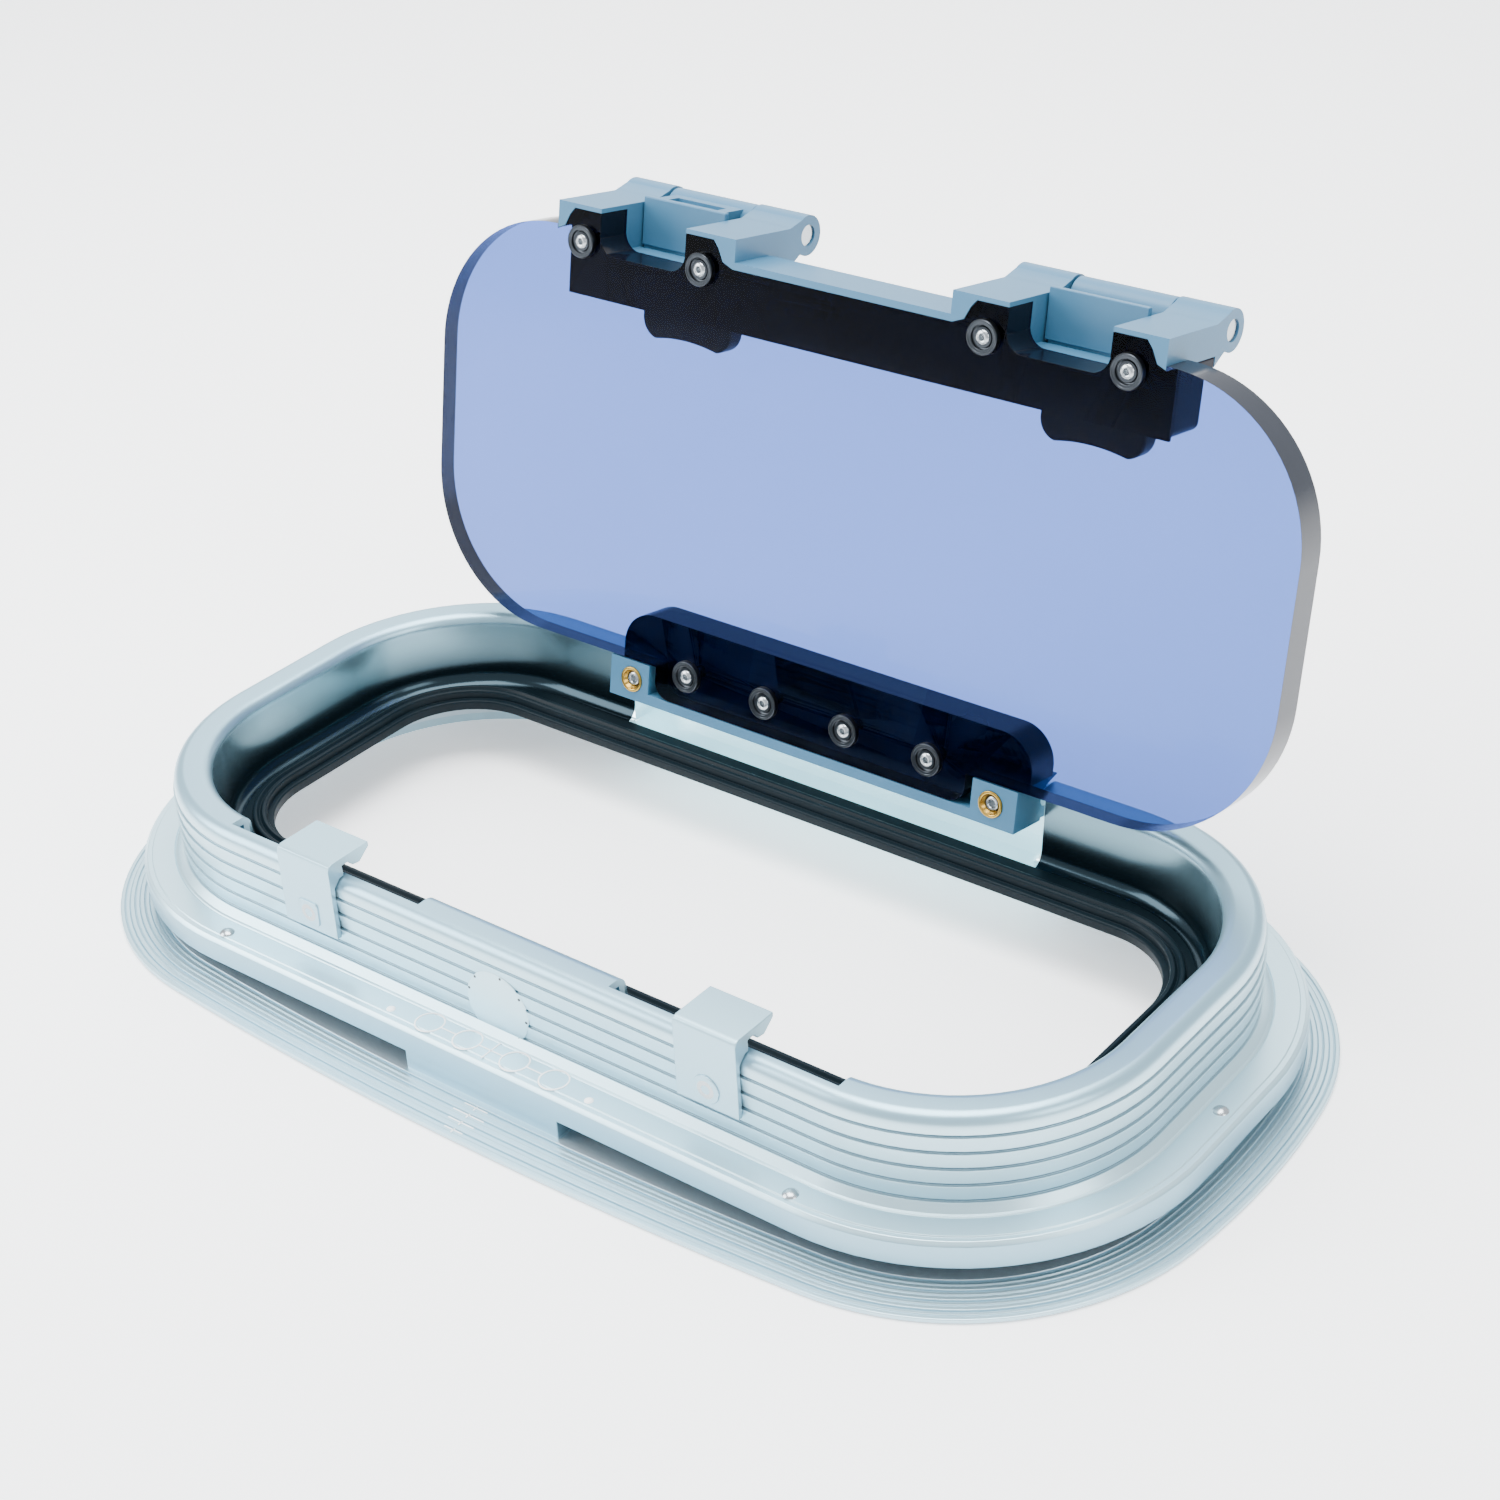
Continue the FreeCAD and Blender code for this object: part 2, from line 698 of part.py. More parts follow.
def hinge_carrier():
    back = lens_thick + leaf_thick
    strip_top = arm_bottom_s + strip_thick
    waist = 0.66 * barrel_r
    profile = [(arm_bottom_s, 0.0), (arm_top_s, 0.0), (arm_top_s, back + plate_thick),
               (pin_s + waist, pin_depth + waist), (pin_s, pin_depth), (arm_bottom_s, pin_depth - 1.5)]
    parts = []
    for x0, x1 in mirrored_spans(arm_inner_x, arm_outer_x):
        parts.append(lens_prism_x(profile, x0, x1))
        parts.append(rod_x(x0, x1, pin_y, pin_z, barrel_r))
    parts.append(lens_box(-arm_inner_x, arm_inner_x, arm_bottom_s, strip_top, 0.0, lens_thick - 0.5))
    reach = arm_outer_x - leaf_corner
    parts.append(lens_box(-reach, reach, arm_top_s, plate_top_s, back, back + plate_thick))
    parts.append(lens_box(-reach, -arm_inner_x, arm_top_s - 2.0, arm_top_s, back, back + plate_thick))
    parts.append(lens_box(arm_inner_x, reach, arm_top_s - 2.0, arm_top_s, back, back + plate_thick))
    body = fuse(parts)
    body = body.cut(rod_x(-arm_outer_x - 1, arm_outer_x + 1, pin_y, pin_z, pin_r + fit_gap))
    for x in insert_x():
        body = body.cut(insert_cut(x, fit_gap))
        body = body.cut(rod_z(x, pin_y, lens_z, pin_z, grub_r + fit_gap))
    for x in carrier_screw_x():
        body = body.cut(rod_z(x, carrier_screw_y(), lens_z + back - 1, lens_z + back + plate_thick + 1,
                              screw_r + fit_gap))
    return body.removeSplitter()


def carrier_screws():
    screws = []
    back_z = lens_z + lens_thick + leaf_thick + plate_thick
    y = carrier_screw_y()
    for x in carrier_screw_x():
        head = rod_z(x, y, back_z, back_z + head_height, head_r)
        shank = rod_z(x, y, back_z - plate_thick - carrier_screw_bite, back_z, screw_r)
        socket = rod_z(x, y, back_z + head_height - socket_depth, back_z + head_height + 0.1, socket_r)
        screws.append(fuse([head, shank]).cut(socket))
    return Part.makeCompound(screws)


def friction_inserts():
    rings = []
    for x in insert_x():
        collar = rod_z(x, pin_y, lens_z - 0.5, lens_z + insert_depth - 0.2, insert_r)
        mouth = Part.makeCone(grub_r + 1.2, grub_r + fit_gap, 1.6, V(x, pin_y, lens_z - 0.5), V(0, 0, 1))
        bore = rod_z(x, pin_y, lens_z - 1, lens_z + insert_depth, grub_r + fit_gap)
        rings.append(collar.cut(mouth).cut(bore))
    return Part.makeCompound(rings)


def friction_screws():
    screws = []
    tip = pin_z - pin_r - 0.3
    for x in insert_x():
        grub = rod_z(x, pin_y, lens_z + 1.0, tip, grub_r)
        socket = rod_z(x, pin_y, lens_z, lens_z + 1.0 + socket_depth, socket_r)
        screws.append(grub.cut(socket))
    return Part.makeCompound(screws)


def face_washers(places):
    rings = []
    low = lens_z - washer_thick
    for x, s in places:
        y = lens_edge_y - s
        cone = Part.makeCone(washer_r - 0.5, washer_r, 0.5, V(x, y, low), V(0, 0, 1))
        disc = rod_z(x, y, low + 0.5, lens_z, washer_r)
        bore = rod_z(x, y, low - 1, lens_z + 1, screw_r + fit_gap)
        cup = rod_z(x, y, low - 1, low + head_sink, head_r + 0.3)
        rings.append(fuse([cone, disc]).cut(bore).cut(cup))
    return Part.makeCompound(rings)


def face_screws(places, length):
    screws = []
    seat = lens_z - washer_thick + head_sink
    for x, s in places:
        y = lens_edge_y - s
        head = Part.makeCone(head_r - 0.7, head_r, face_head_height, V(x, y, seat - face_head_height),
                             V(0, 0, 1))
        shank = rod_z(x, y, seat, lens_z + length, screw_r)
        socket = rod_z(x, y, seat - face_head_height - 0.1, seat - face_head_height + socket_depth, socket_r)
        screws.append(fuse([head, shank]).cut(socket))
    return Part.makeCompound(screws)


def leaf_places():
    return [(x, leaf_screw_s) for x in leaf_screw_x()]


def handle_places():
    return [(x, handle_screw_s) for x in handle_screw_all_x()]


def handle_gasket():
    d0, d1 = lens_thick, lens_thick + gasket_thick
    window = lens_box(-hood_outer_x, hood_outer_x, base_bottom_s, hood_top_s, d0, d1)
    sheet = lens_plate(0.0, d0, d1).common(window)
    for x in handle_screw_all_x():
        sheet = sheet.cut(rod_z(x, lens_edge_y - handle_screw_s, lens_z + d0 - 1, lens_z + d1 + 1,
                                screw_r + fit_gap))
    return sheet.removeSplitter()


def lever_scoops():
    # Room for the claws to swing about the lever pins
    reach = math.hypot(lever_pin_s - claw_heel_s, lever_pin_depth - claw_depth) + scoop_gap
    spans = mirrored_spans(pocket_inner_x, pocket_outer_x)
    return [rod_x(x0, x1, lever_y, lever_z, reach) for x0, x1 in spans]


def handle_base():
    # Bar behind the lens whose ends rise beside the housing's foot
    d0, d1 = lens_thick + gasket_thick, base_depth
    parts = [rounded_block(hood_outer_x, base_bottom_s, bar_bottom_s, 3.0, base_bottom_s, d0, d1)]
    for x0, x1 in mirrored_spans(hood_outer_x - base_end, hood_outer_x):
        parts.append(lens_box(x0, x1, bar_bottom_s, rail_seat_s, d0, d1))
    block = fuse(parts)
    for scoop in lever_scoops():
        block = block.cut(scoop)
    return block.removeSplitter()


def handle_housing():
    d_seat = lens_thick + gasket_thick
    parts = []
    for sign in (-1, 1):
        for a, b in ((hood_inner_x, pocket_inner_x), (pocket_outer_x, hood_outer_x)):
            x0, x1 = sorted((sign * a, sign * b))
            parts.append(lens_box(x0, x1, rail_seat_s - 1.0, hood_top_s, 0.0, d_seat))
            parts.append(lens_box(x0, x1, bar_bottom_s, hood_top_s, d_seat, base_depth))
            ear = [(hood_top_s, base_depth - 1.0), (lever_pin_s + 5.4, lever_pin_depth - 3.8),
                   (lever_pin_s, lever_pin_depth), (lever_pin_s - 5.6, lever_pin_depth - 3.5),
                   (bar_bottom_s + 5.0, base_depth), (bar_bottom_s + 5.0, base_depth - 1.0)]
            parts.append(lens_prism_x(ear, x0, x1))
            parts.append(rod_x(x0, x1, lever_y, lever_z, ear_r))
    bar_depth = lens_thick + 6.0
    parts.append(lens_box(-hood_inner_x, hood_inner_x, rail_seat_s, rail_top_s, 0.0, bar_depth))
    foot_x = hood_outer_x - base_end
    parts.append(lens_box(-foot_x, foot_x, bar_bottom_s, pocket_floor_s, d_seat, base_depth))
    parts.append(lens_box(-hood_inner_x, hood_inner_x, bar_bottom_s, rail_top_s, d_seat, bar_depth))
    body = fuse(parts)
    body = body.cut(lens_plate(seat_gap, -1.0, d_seat))
    for x0, x1 in mirrored_spans(foot_x, hood_outer_x + 1.0):
        body = body.cut(lens_box(x0, x1, bar_bottom_s - 1.0, rail_seat_s, d_seat - 1.0, base_depth))
    for scoop in lever_scoops():
        body = body.cut(scoop)
    for x0, x1 in mirrored_spans(hood_inner_x, hood_outer_x):
        body = body.cut(rod_x(x0 - 1, x1 + 1, lever_y, lever_z, lever_pin_r))
    for x in handle_screw_all_x():
        body = body.cut(rod_z(x, lens_edge_y - handle_screw_s, lens_z + d_seat - 1, lens_z + base_depth - 2.0,
                              screw_r + fit_gap))
    return body.removeSplitter()


def lever_pins():
    pins = [rod_x(x0 + 0.6, x1 - 0.6, lever_y, lever_z, lever_pin_r)
            for x0, x1 in mirrored_spans(hood_inner_x, hood_outer_x)]
    return Part.makeCompound(pins)


def lever_span(side):
    x0, x1 = (pocket_inner_x + lever_gap, pocket_outer_x - lever_gap)
    return (x0, x1) if side > 0 else (-x1, -x0)


def lever(side):
    x0, x1 = lever_span(side)
    plate_back = claw_depth + claw_plate
    arm_front = base_depth + grip_gap
    parts = [rod_x(x0, x1, lever_y, lever_z, lever_barrel_r)]
    parts.append(lens_box(x0, x1, claw_heel_s, claw_tip_s, claw_depth, plate_back))
    parts.append(lens_box(x0, x1, claw_heel_s, claw_heel_s + claw_web, claw_depth, lever_pin_depth - 3.0))
    parts.append(lens_prism_x([(claw_heel_s + claw_web, arm_front + 1.0),
                               (lever_pin_s, lever_pin_depth - 5.5),
                               (lever_pin_s, lever_pin_depth + 5.5),
                               (grip_start_s, arm_front + grip_thick - 1.5),
                               (grip_start_s, arm_front + 1.5), (claw_heel_s, arm_front + 1.0)], x0, x1))
    parts.append(lens_box(x0 + neck_inset, x1 - neck_inset, grip_start_s - neck_length, grip_start_s,
                          arm_front + neck_gap, arm_front + grip_thick - neck_gap))
    body = fuse(parts)
    return body.cut(rod_x(x0 - 1, x1 + 1, lever_y, lever_z, lever_pin_r + fit_gap)).removeSplitter()


def grip(side):
    x_mid = side * (pocket_inner_x + pocket_outer_x) / 2
    d0 = base_depth + grip_gap
    d1 = d0 + grip_thick
    block = lens_box(x_mid - grip_half_x, x_mid + grip_half_x, grip_end_s, grip_start_s, d0, d1)
    upright = [e for e in block.Edges
               if abs(e.CenterOfMass.z - (lens_z + d0 + grip_thick / 2)) < 1e-6
               and abs(e.CenterOfMass.y - (lens_edge_y - grip_end_s)) < 1e-6]
    block = block.makeFillet(grip_corner, upright)
    y = lens_edge_y - grip_end_s + grip_hollow_r - grip_hollow
    scoop = rod_z(x_mid, y, lens_z + d0 - 1, lens_z + d1 + 1, grip_hollow_r)
    block = block.cut(scoop)
    x0, x1 = lever_span(side)
    slot = lens_box(x0 + neck_inset, x1 - neck_inset, grip_start_s - neck_length, grip_start_s + 1.0,
                    d0 + neck_gap, d1 - neck_gap)
    return block.cut(slot).removeSplitter()


def swing(shape):
    # Open the lens: turn about the hinge pin
    turned = shape.copy()
    turned.rotate(V(0, pin_y, pin_z), V(1, 0, 0), -open_angle)
    return turned


fixed = {
    "frame": frame,
    "seal": seal,
    "channel_gasket": channel_gasket,
    "ring_plugs": ring_plugs,
    "strike_left": lambda: strike(-1),
    "strike_right": lambda: strike(1),
    "strike_screws": strike_screws,
    "hinge_bracket": hinge_bracket,
    "bracket_screws": bracket_screws,
    "hinge_pin": hinge_pin,
}
moving = {
    "lens": lens,
    "hinge_leaf": hinge_leaf,
    "hinge_carrier": hinge_carrier,
    "carrier_screws": carrier_screws,
    "friction_inserts": friction_inserts,
    "friction_screws": friction_screws,
    "leaf_washers": lambda: face_washers(leaf_places()),
    "leaf_screws": lambda: face_screws(leaf_places(), lens_thick + leaf_thick - 4.0),
    "handle_gasket": handle_gasket,
    "handle_base": handle_base,
    "handle_housing": handle_housing,
    "handle_washers": lambda: face_washers(handle_places()),
    "handle_screws": lambda: face_screws(handle_places(), base_depth - 3.0),
    "lever_pins": lever_pins,
    "lever_left": lambda: lever(-1),
    "lever_right": lambda: lever(1),
    "lever_grip_left": lambda: grip(-1),
    "lever_grip_right": lambda: grip(1),
}

os.makedirs("parts", exist_ok=True)
for name, make in fixed.items():
    shape = make()
    print(name, "solids", len(shape.Solids), "valid", shape.isValid(), "volume", round(shape.Volume))
    shape.exportStep("parts/" + name + ".step")
for name, make in moving.items():
    shape = swing(make())
    print(name, "solids", len(shape.Solids), "valid", shape.isValid(), "volume", round(shape.Volume))
    shape.exportStep("parts/" + name + ".step")
print("hinge pin at y", pin_y, "z", pin_z, "lens shut at z", lens_z)
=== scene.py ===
import bpy
import bmesh
import math
from mathutils import Matrix, Vector


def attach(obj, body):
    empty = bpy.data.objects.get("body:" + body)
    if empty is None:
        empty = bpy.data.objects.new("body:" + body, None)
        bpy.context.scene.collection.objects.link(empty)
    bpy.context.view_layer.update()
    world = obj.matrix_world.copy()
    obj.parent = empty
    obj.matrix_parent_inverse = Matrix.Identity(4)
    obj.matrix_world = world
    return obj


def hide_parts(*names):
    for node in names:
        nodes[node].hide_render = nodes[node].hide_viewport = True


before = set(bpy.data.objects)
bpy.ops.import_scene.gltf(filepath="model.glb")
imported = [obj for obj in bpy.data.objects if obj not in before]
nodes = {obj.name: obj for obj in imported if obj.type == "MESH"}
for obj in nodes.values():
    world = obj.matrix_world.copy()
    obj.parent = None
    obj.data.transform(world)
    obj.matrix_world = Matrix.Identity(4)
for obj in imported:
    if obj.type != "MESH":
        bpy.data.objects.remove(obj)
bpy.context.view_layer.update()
mm = 0.001  # the sizes below are in millimetres


# shared helpers


def putMaterial(obj, material):
    obj.data.materials.clear()
    obj.data.materials.append(material)


def newObject(name, mesh):
    obj = bpy.data.objects.new(name, mesh)
    bpy.context.scene.collection.objects.link(obj)
    return obj


# camera and studio

studio = {
    "cameraPlace": (0.4693, -0.5387, 0.4984),
    "azimuth": 39.42,
    "elevation": 30.86,
    "roll": -3.23,
    "lens": 65.65,
    "floorColor": (0.97, 0.975, 0.98, 1),
    "worldColor": (0.93, 0.96, 1.0, 1),
    "worldPower": 1.25,
    "floorGlow": 0.55,
    "floorReach": 6,
    "lamps": (
        # name, place, aim, size, power, colour
        ("overhead", (-0.1, 0.1, 1.5), (0, 0, 0.05), 1.2, 62, (1, 1, 1)),
        ("leftSide", (-1.2, -0.9, 0.9), (0, 0, 0.05), 1.0, 34, (0.95, 0.98, 1)),
        ("rightSide", (1.4, -0.2, 0.8), (0, 0, 0.08), 0.6, 8, (1, 1, 1)),
        ("rearPanel", (-1.0, 1.25, 1.15), (0, 0, 0.05), 1.6, 18, (0.97, 0.99, 1)),
    ),
}


def makeCamera():
    az, el, roll = (math.radians(studio[k]) for k in ("azimuth", "elevation", "roll"))
    back = Vector((math.sin(az) * math.cos(el), -math.cos(az) * math.cos(el), math.sin(el)))
    right = Vector((math.cos(az), math.sin(az), 0))
    up = back.cross(right)
    across = right * math.cos(roll) + up * math.sin(roll)
    upward = up * math.cos(roll) - right * math.sin(roll)
    turn = Matrix((across, upward, back)).transposed().to_4x4()
    data = bpy.data.cameras.new("photoCamera")
    data.lens = studio["lens"]
    data.sensor_width = 36
    data.clip_start = 0.01
    camera = bpy.data.objects.new("photoCamera", data)
    camera.matrix_world = Matrix.Translation(studio["cameraPlace"]) @ turn
    bpy.context.scene.collection.objects.link(camera)
    bpy.context.scene.camera = camera


def makeLamp(name, place, aim, size, power, color):
    data = bpy.data.lights.new(name, "AREA")
    data.size = size
    data.energy = power
    data.color = color
    lamp = bpy.data.objects.new(name, data)
    look = Vector(aim) - Vector(place)
    lamp.matrix_world = Matrix.Translation(place) @ look.to_track_quat("-Z", "Y").to_matrix().to_4x4()
    bpy.context.scene.collection.objects.link(lamp)


def makeStudio():
    world = bpy.data.worlds.new("softWhite")
    bpy.context.scene.world = world
    world.use_nodes = True
    sky = world.node_tree.nodes["Background"]
    sky.inputs["Color"].default_value = studio["worldColor"]
    sky.inputs["Strength"].default_value = studio["worldPower"]
    for lamp in studio["lamps"]:
        makeLamp(*lamp)
    mesh = bpy.data.meshes.new("floor")
    reach = studio["floorReach"]
    corners = [(-reach, -reach, 0), (reach, -reach, 0), (reach, reach, 0), (-reach, reach, 0)]
    mesh.from_pydata(corners, [], [(0, 1, 2, 3)])
    floor = newObject("floor", mesh)
    floor.data.transform(Matrix.Translation((0, 0, -0.0005)))
    paper = bpy.data.materials.new("paper")
    paper.use_nodes = True
    shader = paper.node_tree.nodes["Principled BSDF"]
    shader.inputs["Base Color"].default_value = studio["floorColor"]
    shader.inputs["Roughness"].default_value = 0.9
    shader.inputs["Emission Color"].default_value = (1, 1, 1, 1)
    shader.inputs["Emission Strength"].default_value = studio["floorGlow"]
    putMaterial(floor, paper)


makeCamera()
makeStudio()
print("camera and studio ready")


# shared effects: each group puts out masks and heights that the materials mix themselves

def newGroup(name, inputs, outputs):
    tree = bpy.data.node_groups.new(name, "ShaderNodeTree")
    for label, kind, value in inputs:
        socket = tree.interface.new_socket(label, in_out="INPUT", socket_type=kind)
        socket.default_value = value
    for label, kind in outputs:
        tree.interface.new_socket(label, in_out="OUTPUT", socket_type=kind)
    return tree, tree.nodes.new("NodeGroupInput"), tree.nodes.new("NodeGroupOutput")


def mathNode(tree, operation, first, second=None, third=None):
    node = tree.nodes.new("ShaderNodeMath")
    node.operation = operation
    for i, value in enumerate((first, second, third)):
        if value is None:
            continue
        if isinstance(value, (int, float)):
            node.inputs[i].default_value = value
        else:
            tree.links.new(value, node.inputs[i])
    return node.outputs[0]


def rangeNode(tree, value, low, high, smooth=True):
    node = tree.nodes.new("ShaderNodeMapRange")
    node.interpolation_type = "SMOOTHSTEP" if smooth else "LINEAR"
    tree.links.new(value, node.inputs["Value"])
    node.inputs["From Min"].default_value = low
    node.inputs["From Max"].default_value = high
    return node.outputs[0]


def bandNode(tree, value, rise, fall):
    # one inside both soft limits, nothing outside them
    return mathNode(tree, "MULTIPLY", rangeNode(tree, value, *rise), rangeNode(tree, value, *fall))


def mixColor(tree, factor, first, second):
    node = tree.nodes.new("ShaderNodeMix")
    node.data_type = "RGBA"
    for i, value in ((0, factor), (6, first), (7, second)):
        if isinstance(value, (tuple, float, int)):
            node.inputs[i].default_value = value
        else:
            tree.links.new(value, node.inputs[i])
    return node.outputs[2]


def makeGrainGroup():
    # fine surface grain and a slow mottle, in object space
    tree, start, end = newGroup(
        "surfaceGrain",
        [("Vector", "NodeSocketVector", (0, 0, 0)), ("Fine Scale", "NodeSocketFloat", 900.0),
         ("Slow Scale", "NodeSocketFloat", 18.0)],
        [("Grain", "NodeSocketFloat"), ("Mottle", "NodeSocketFloat")])
    for label, output, detail in (("Fine Scale", "Grain", 2.0), ("Slow Scale", "Mottle", 4.0)):
        noise = tree.nodes.new("ShaderNodeTexNoise")
        noise.inputs["Detail"].default_value = detail
        tree.links.new(start.outputs["Vector"], noise.inputs["Vector"])
        tree.links.new(start.outputs[label], noise.inputs["Scale"])
        tree.links.new(noise.outputs["Fac"], end.inputs[output])
    return tree


def makeInsetGroup():
    # how far a point lies inside the frame wall's outline, in metres, seen in plan
    tree, start, end = newGroup(
        "wallInset",
        [("Vector", "NodeSocketVector", (0, 0, 0)), ("Half X", "NodeSocketFloat", 0.18),
         ("Half Y", "NodeSocketFloat", 0.0866), ("Corner", "NodeSocketFloat", 0.066)],
        [("Inset", "NodeSocketFloat"), ("Height", "NodeSocketFloat"), ("Along", "NodeSocketFloat"),
         ("Back", "NodeSocketFloat")])
    split = tree.nodes.new("ShaderNodeSeparateXYZ")
    tree.links.new(start.outputs["Vector"], split.inputs[0])
    reach = []
    for axis, half in (("X", "Half X"), ("Y", "Half Y")):
        straight = mathNode(tree, "SUBTRACT", start.outputs[half], start.outputs["Corner"])
        reach.append(mathNode(tree, "SUBTRACT", mathNode(tree, "ABSOLUTE", split.outputs[axis]), straight))
    outX, outY = (mathNode(tree, "MAXIMUM", value, 0.0) for value in reach)
    squares = [mathNode(tree, "MULTIPLY", value, value) for value in (outX, outY)]
    squares = mathNode(tree, "ADD", *squares)
    inner = mathNode(tree, "MINIMUM", mathNode(tree, "MAXIMUM", reach[0], reach[1]), 0.0)
    signed = mathNode(tree, "ADD", mathNode(tree, "SQRT", squares), inner)
    tree.links.new(mathNode(tree, "SUBTRACT", start.outputs["Corner"], signed), end.inputs["Inset"])
    tree.links.new(split.outputs["Z"], end.inputs["Height"])
    tree.links.new(mathNode(tree, "ABSOLUTE", split.outputs["X"]), end.inputs["Along"])
    tree.links.new(split.outputs["Y"], end.inputs["Back"])
    return tree


grainGroup = makeGrainGroup()
insetGroup = makeInsetGroup()


def startMaterial(name, roughness, metallic=0.0, shine=0.5):
    material = bpy.data.materials.new(name)
    material.use_nodes = True
    tree = material.node_tree
    shader = tree.nodes["Principled BSDF"]
    shader.inputs["Roughness"].default_value = roughness
    shader.inputs["Metallic"].default_value = metallic
    shader.inputs["Specular IOR Level"].default_value = shine
    place = tree.nodes.new("ShaderNodeTexCoord").outputs["Object"]
    return material, tree, shader, place


def addGrain(tree, place, fine, slow):
    node = tree.nodes.new("ShaderNodeGroup")
    node.node_tree = grainGroup
    node.inputs["Fine Scale"].default_value = fine
    node.inputs["Slow Scale"].default_value = slow
    tree.links.new(place, node.inputs["Vector"])
    return node.outputs["Grain"], node.outputs["Mottle"]


def addBump(tree, shader, height, strength, distance):
    bump = tree.nodes.new("ShaderNodeBump")
    bump.inputs["Strength"].default_value = strength
    bump.inputs["Distance"].default_value = distance
    tree.links.new(height, bump.inputs["Height"])
    tree.links.new(bump.outputs["Normal"], shader.inputs["Normal"])


def spread(tree, value, low, high):
    node = tree.nodes.new("ShaderNodeMapRange")
    tree.links.new(value, node.inputs["Value"])
    node.inputs["To Min"].default_value = low
    node.inputs["To Max"].default_value = high
    return node.outputs[0]


finishes = {
    "blueSatin": {
        "color": (0.050, 0.150, 0.250, 1), "dark": (0.040, 0.130, 0.222, 1),
        "rough": (0.30, 0.42), "metal": 0.0, "fine": 1400, "slow": 30, "bump": 0.08, "shine": 0.30,
    },
    "navyGloss": {
        "color": (0.003, 0.0035, 0.012, 1), "dark": (0.0015, 0.002, 0.008, 1),
        "rough": (0.24, 0.34), "metal": 0.0, "fine": 1600, "slow": 25, "bump": 0.02, "shine": 0.06,
    },
    "leafNavy": {
        "color": (0.026, 0.030, 0.048, 1), "dark": (0.018, 0.021, 0.036, 1),
        "rough": (0.24, 0.34), "metal": 0.0, "fine": 1600, "slow": 25, "bump": 0.02, "shine": 0.25,
    },
    "brightSteel": {
        "color": (0.50, 0.53, 0.55, 1), "dark": (0.36, 0.39, 0.41, 1),
        "rough": (0.20, 0.32), "metal": 1.0, "fine": 2500, "slow": 60, "bump": 0.06,
    },
    "turnedBrass": {
        "color": (0.55, 0.36, 0.08, 1), "dark": (0.36, 0.22, 0.05, 1),
        "rough": (0.22, 0.34), "metal": 1.0, "fine": 2500, "slow": 80, "bump": 0.06,
    },
    "gunSteel": {
        "color": (0.055, 0.062, 0.070, 1), "dark": (0.035, 0.040, 0.047, 1),
        "rough": (0.24, 0.36), "metal": 1.0, "fine": 2500, "slow": 60, "bump": 0.06,
    },
    "markLine": {
        "color": (0.97, 0.99, 1.0, 1), "dark": (0.92, 0.96, 0.98, 1),
        "rough": (0.45, 0.55), "metal": 0.0, "fine": 2200, "slow": 14, "bump": 0.04,
    },
    "darkWasher": {
        "color": (0.020, 0.022, 0.028, 1), "dark": (0.012, 0.013, 0.018, 1),
        "rough": (0.30, 0.45), "metal": 0.0, "fine": 2000, "slow": 60, "bump": 0.08,
    },
    "blackRubber": {
        "color": (0.004, 0.010, 0.014, 1), "dark": (0.002, 0.006, 0.009, 1),
        "rough": (0.34, 0.46), "metal": 0.0, "fine": 1500, "slow": 20, "bump": 0.04, "shine": 0.09,
    },
    "paleMetal": {
        "color": (0.36, 0.55, 0.64, 1), "dark": (0.32, 0.51, 0.60, 1),
        "rough": (0.30, 0.40), "metal": 0.75, "fine": 2200, "slow": 14, "bump": 0.05,
    },
}


def makeFinish(name):
    look = finishes[name]
    material, tree, shader, place = startMaterial(name, 0.4, look["metal"], look.get("shine", 0.5))
    grain, mottle = addGrain(tree, place, look["fine"], look["slow"])
    tree.links.new(mixColor(tree, mottle, look["dark"], look["color"]), shader.inputs["Base Color"])
    tree.links.new(spread(tree, mottle, look["rough"][0], look["rough"][1]), shader.inputs["Roughness"])
    addBump(tree, shader, grain, look["bump"], 0.0002)
    return material


frameLook = {
    "outer": (0.29, 0.47, 0.565, 1),
    "outerDark": (0.26, 0.435, 0.53, 1),
    # painted light: the wall faces and the flange are painted brighter than the ring, for the light that falls
    # on them
    "wall": (0.46, 0.66, 0.74, 1),
    "flange": (0.42, 0.60, 0.68, 1),
    # painted shade: a thin dark line just above each lap's ledge, where the step shades the wall
    "groove": (0.09, 0.16, 0.21, 1),
    # painted light: the recess is pale and is painted paler still to lift it out of its shade
    "recess": (0.80, 0.92, 0.93, 1),
    # painted shade: the throat's colours darken from the lip down to the ledge, for its shade and the dark
    # things it reflects
    "throatLight": (0.15, 0.26, 0.31, 1),
    "throatDark": (0.010, 0.024, 0.033, 1),
    # painted light: the channel under the ring is painted lighter than the frame, against its shade
    "channel": (0.55, 0.66, 0.72, 1),
    "lapStart": 0.0206,
    "lapPitch": 0.0054,
    # painted light: the recess glows with this colour, though no lamp is there
    "pocketPaintedGlow": (0.35, 0.75, 0.88, 1),
    "zones": {
        # soft limits in metres: nothing at the first value, all at the second
        "wallLow": (0.0165, 0.0175),
        "wallHigh": (0.0475, 0.0440),
        "wallFace": (0.003, 0.002),
        "discFace": (-0.00052, -0.0004),
        "flangeTop": (0.0040, 0.0035),
        "grooveLow": (0.0001, 0.00018),
        "grooveHigh": (0.00085, 0.0007),
        "lapsLow": (0.0190, 0.0195),
        "lapsHigh": (0.0436, 0.0433),
        "throat": (0.044, 0.027),
        "lip": (0.0112, 0.0125),
        "lipTop": (0.047, 0.0435),
        "recessHalf": (0.0832, 0.0830),
        "recessFront": (0.0650, 0.0652),
        "channelLow": (0.0029, 0.0031),
        "channelHigh": (0.0097, 0.0094),
        "keyHalf": (0.0303, 0.0301),
        "keyBack": (-0.0890, -0.0900),
    },
}


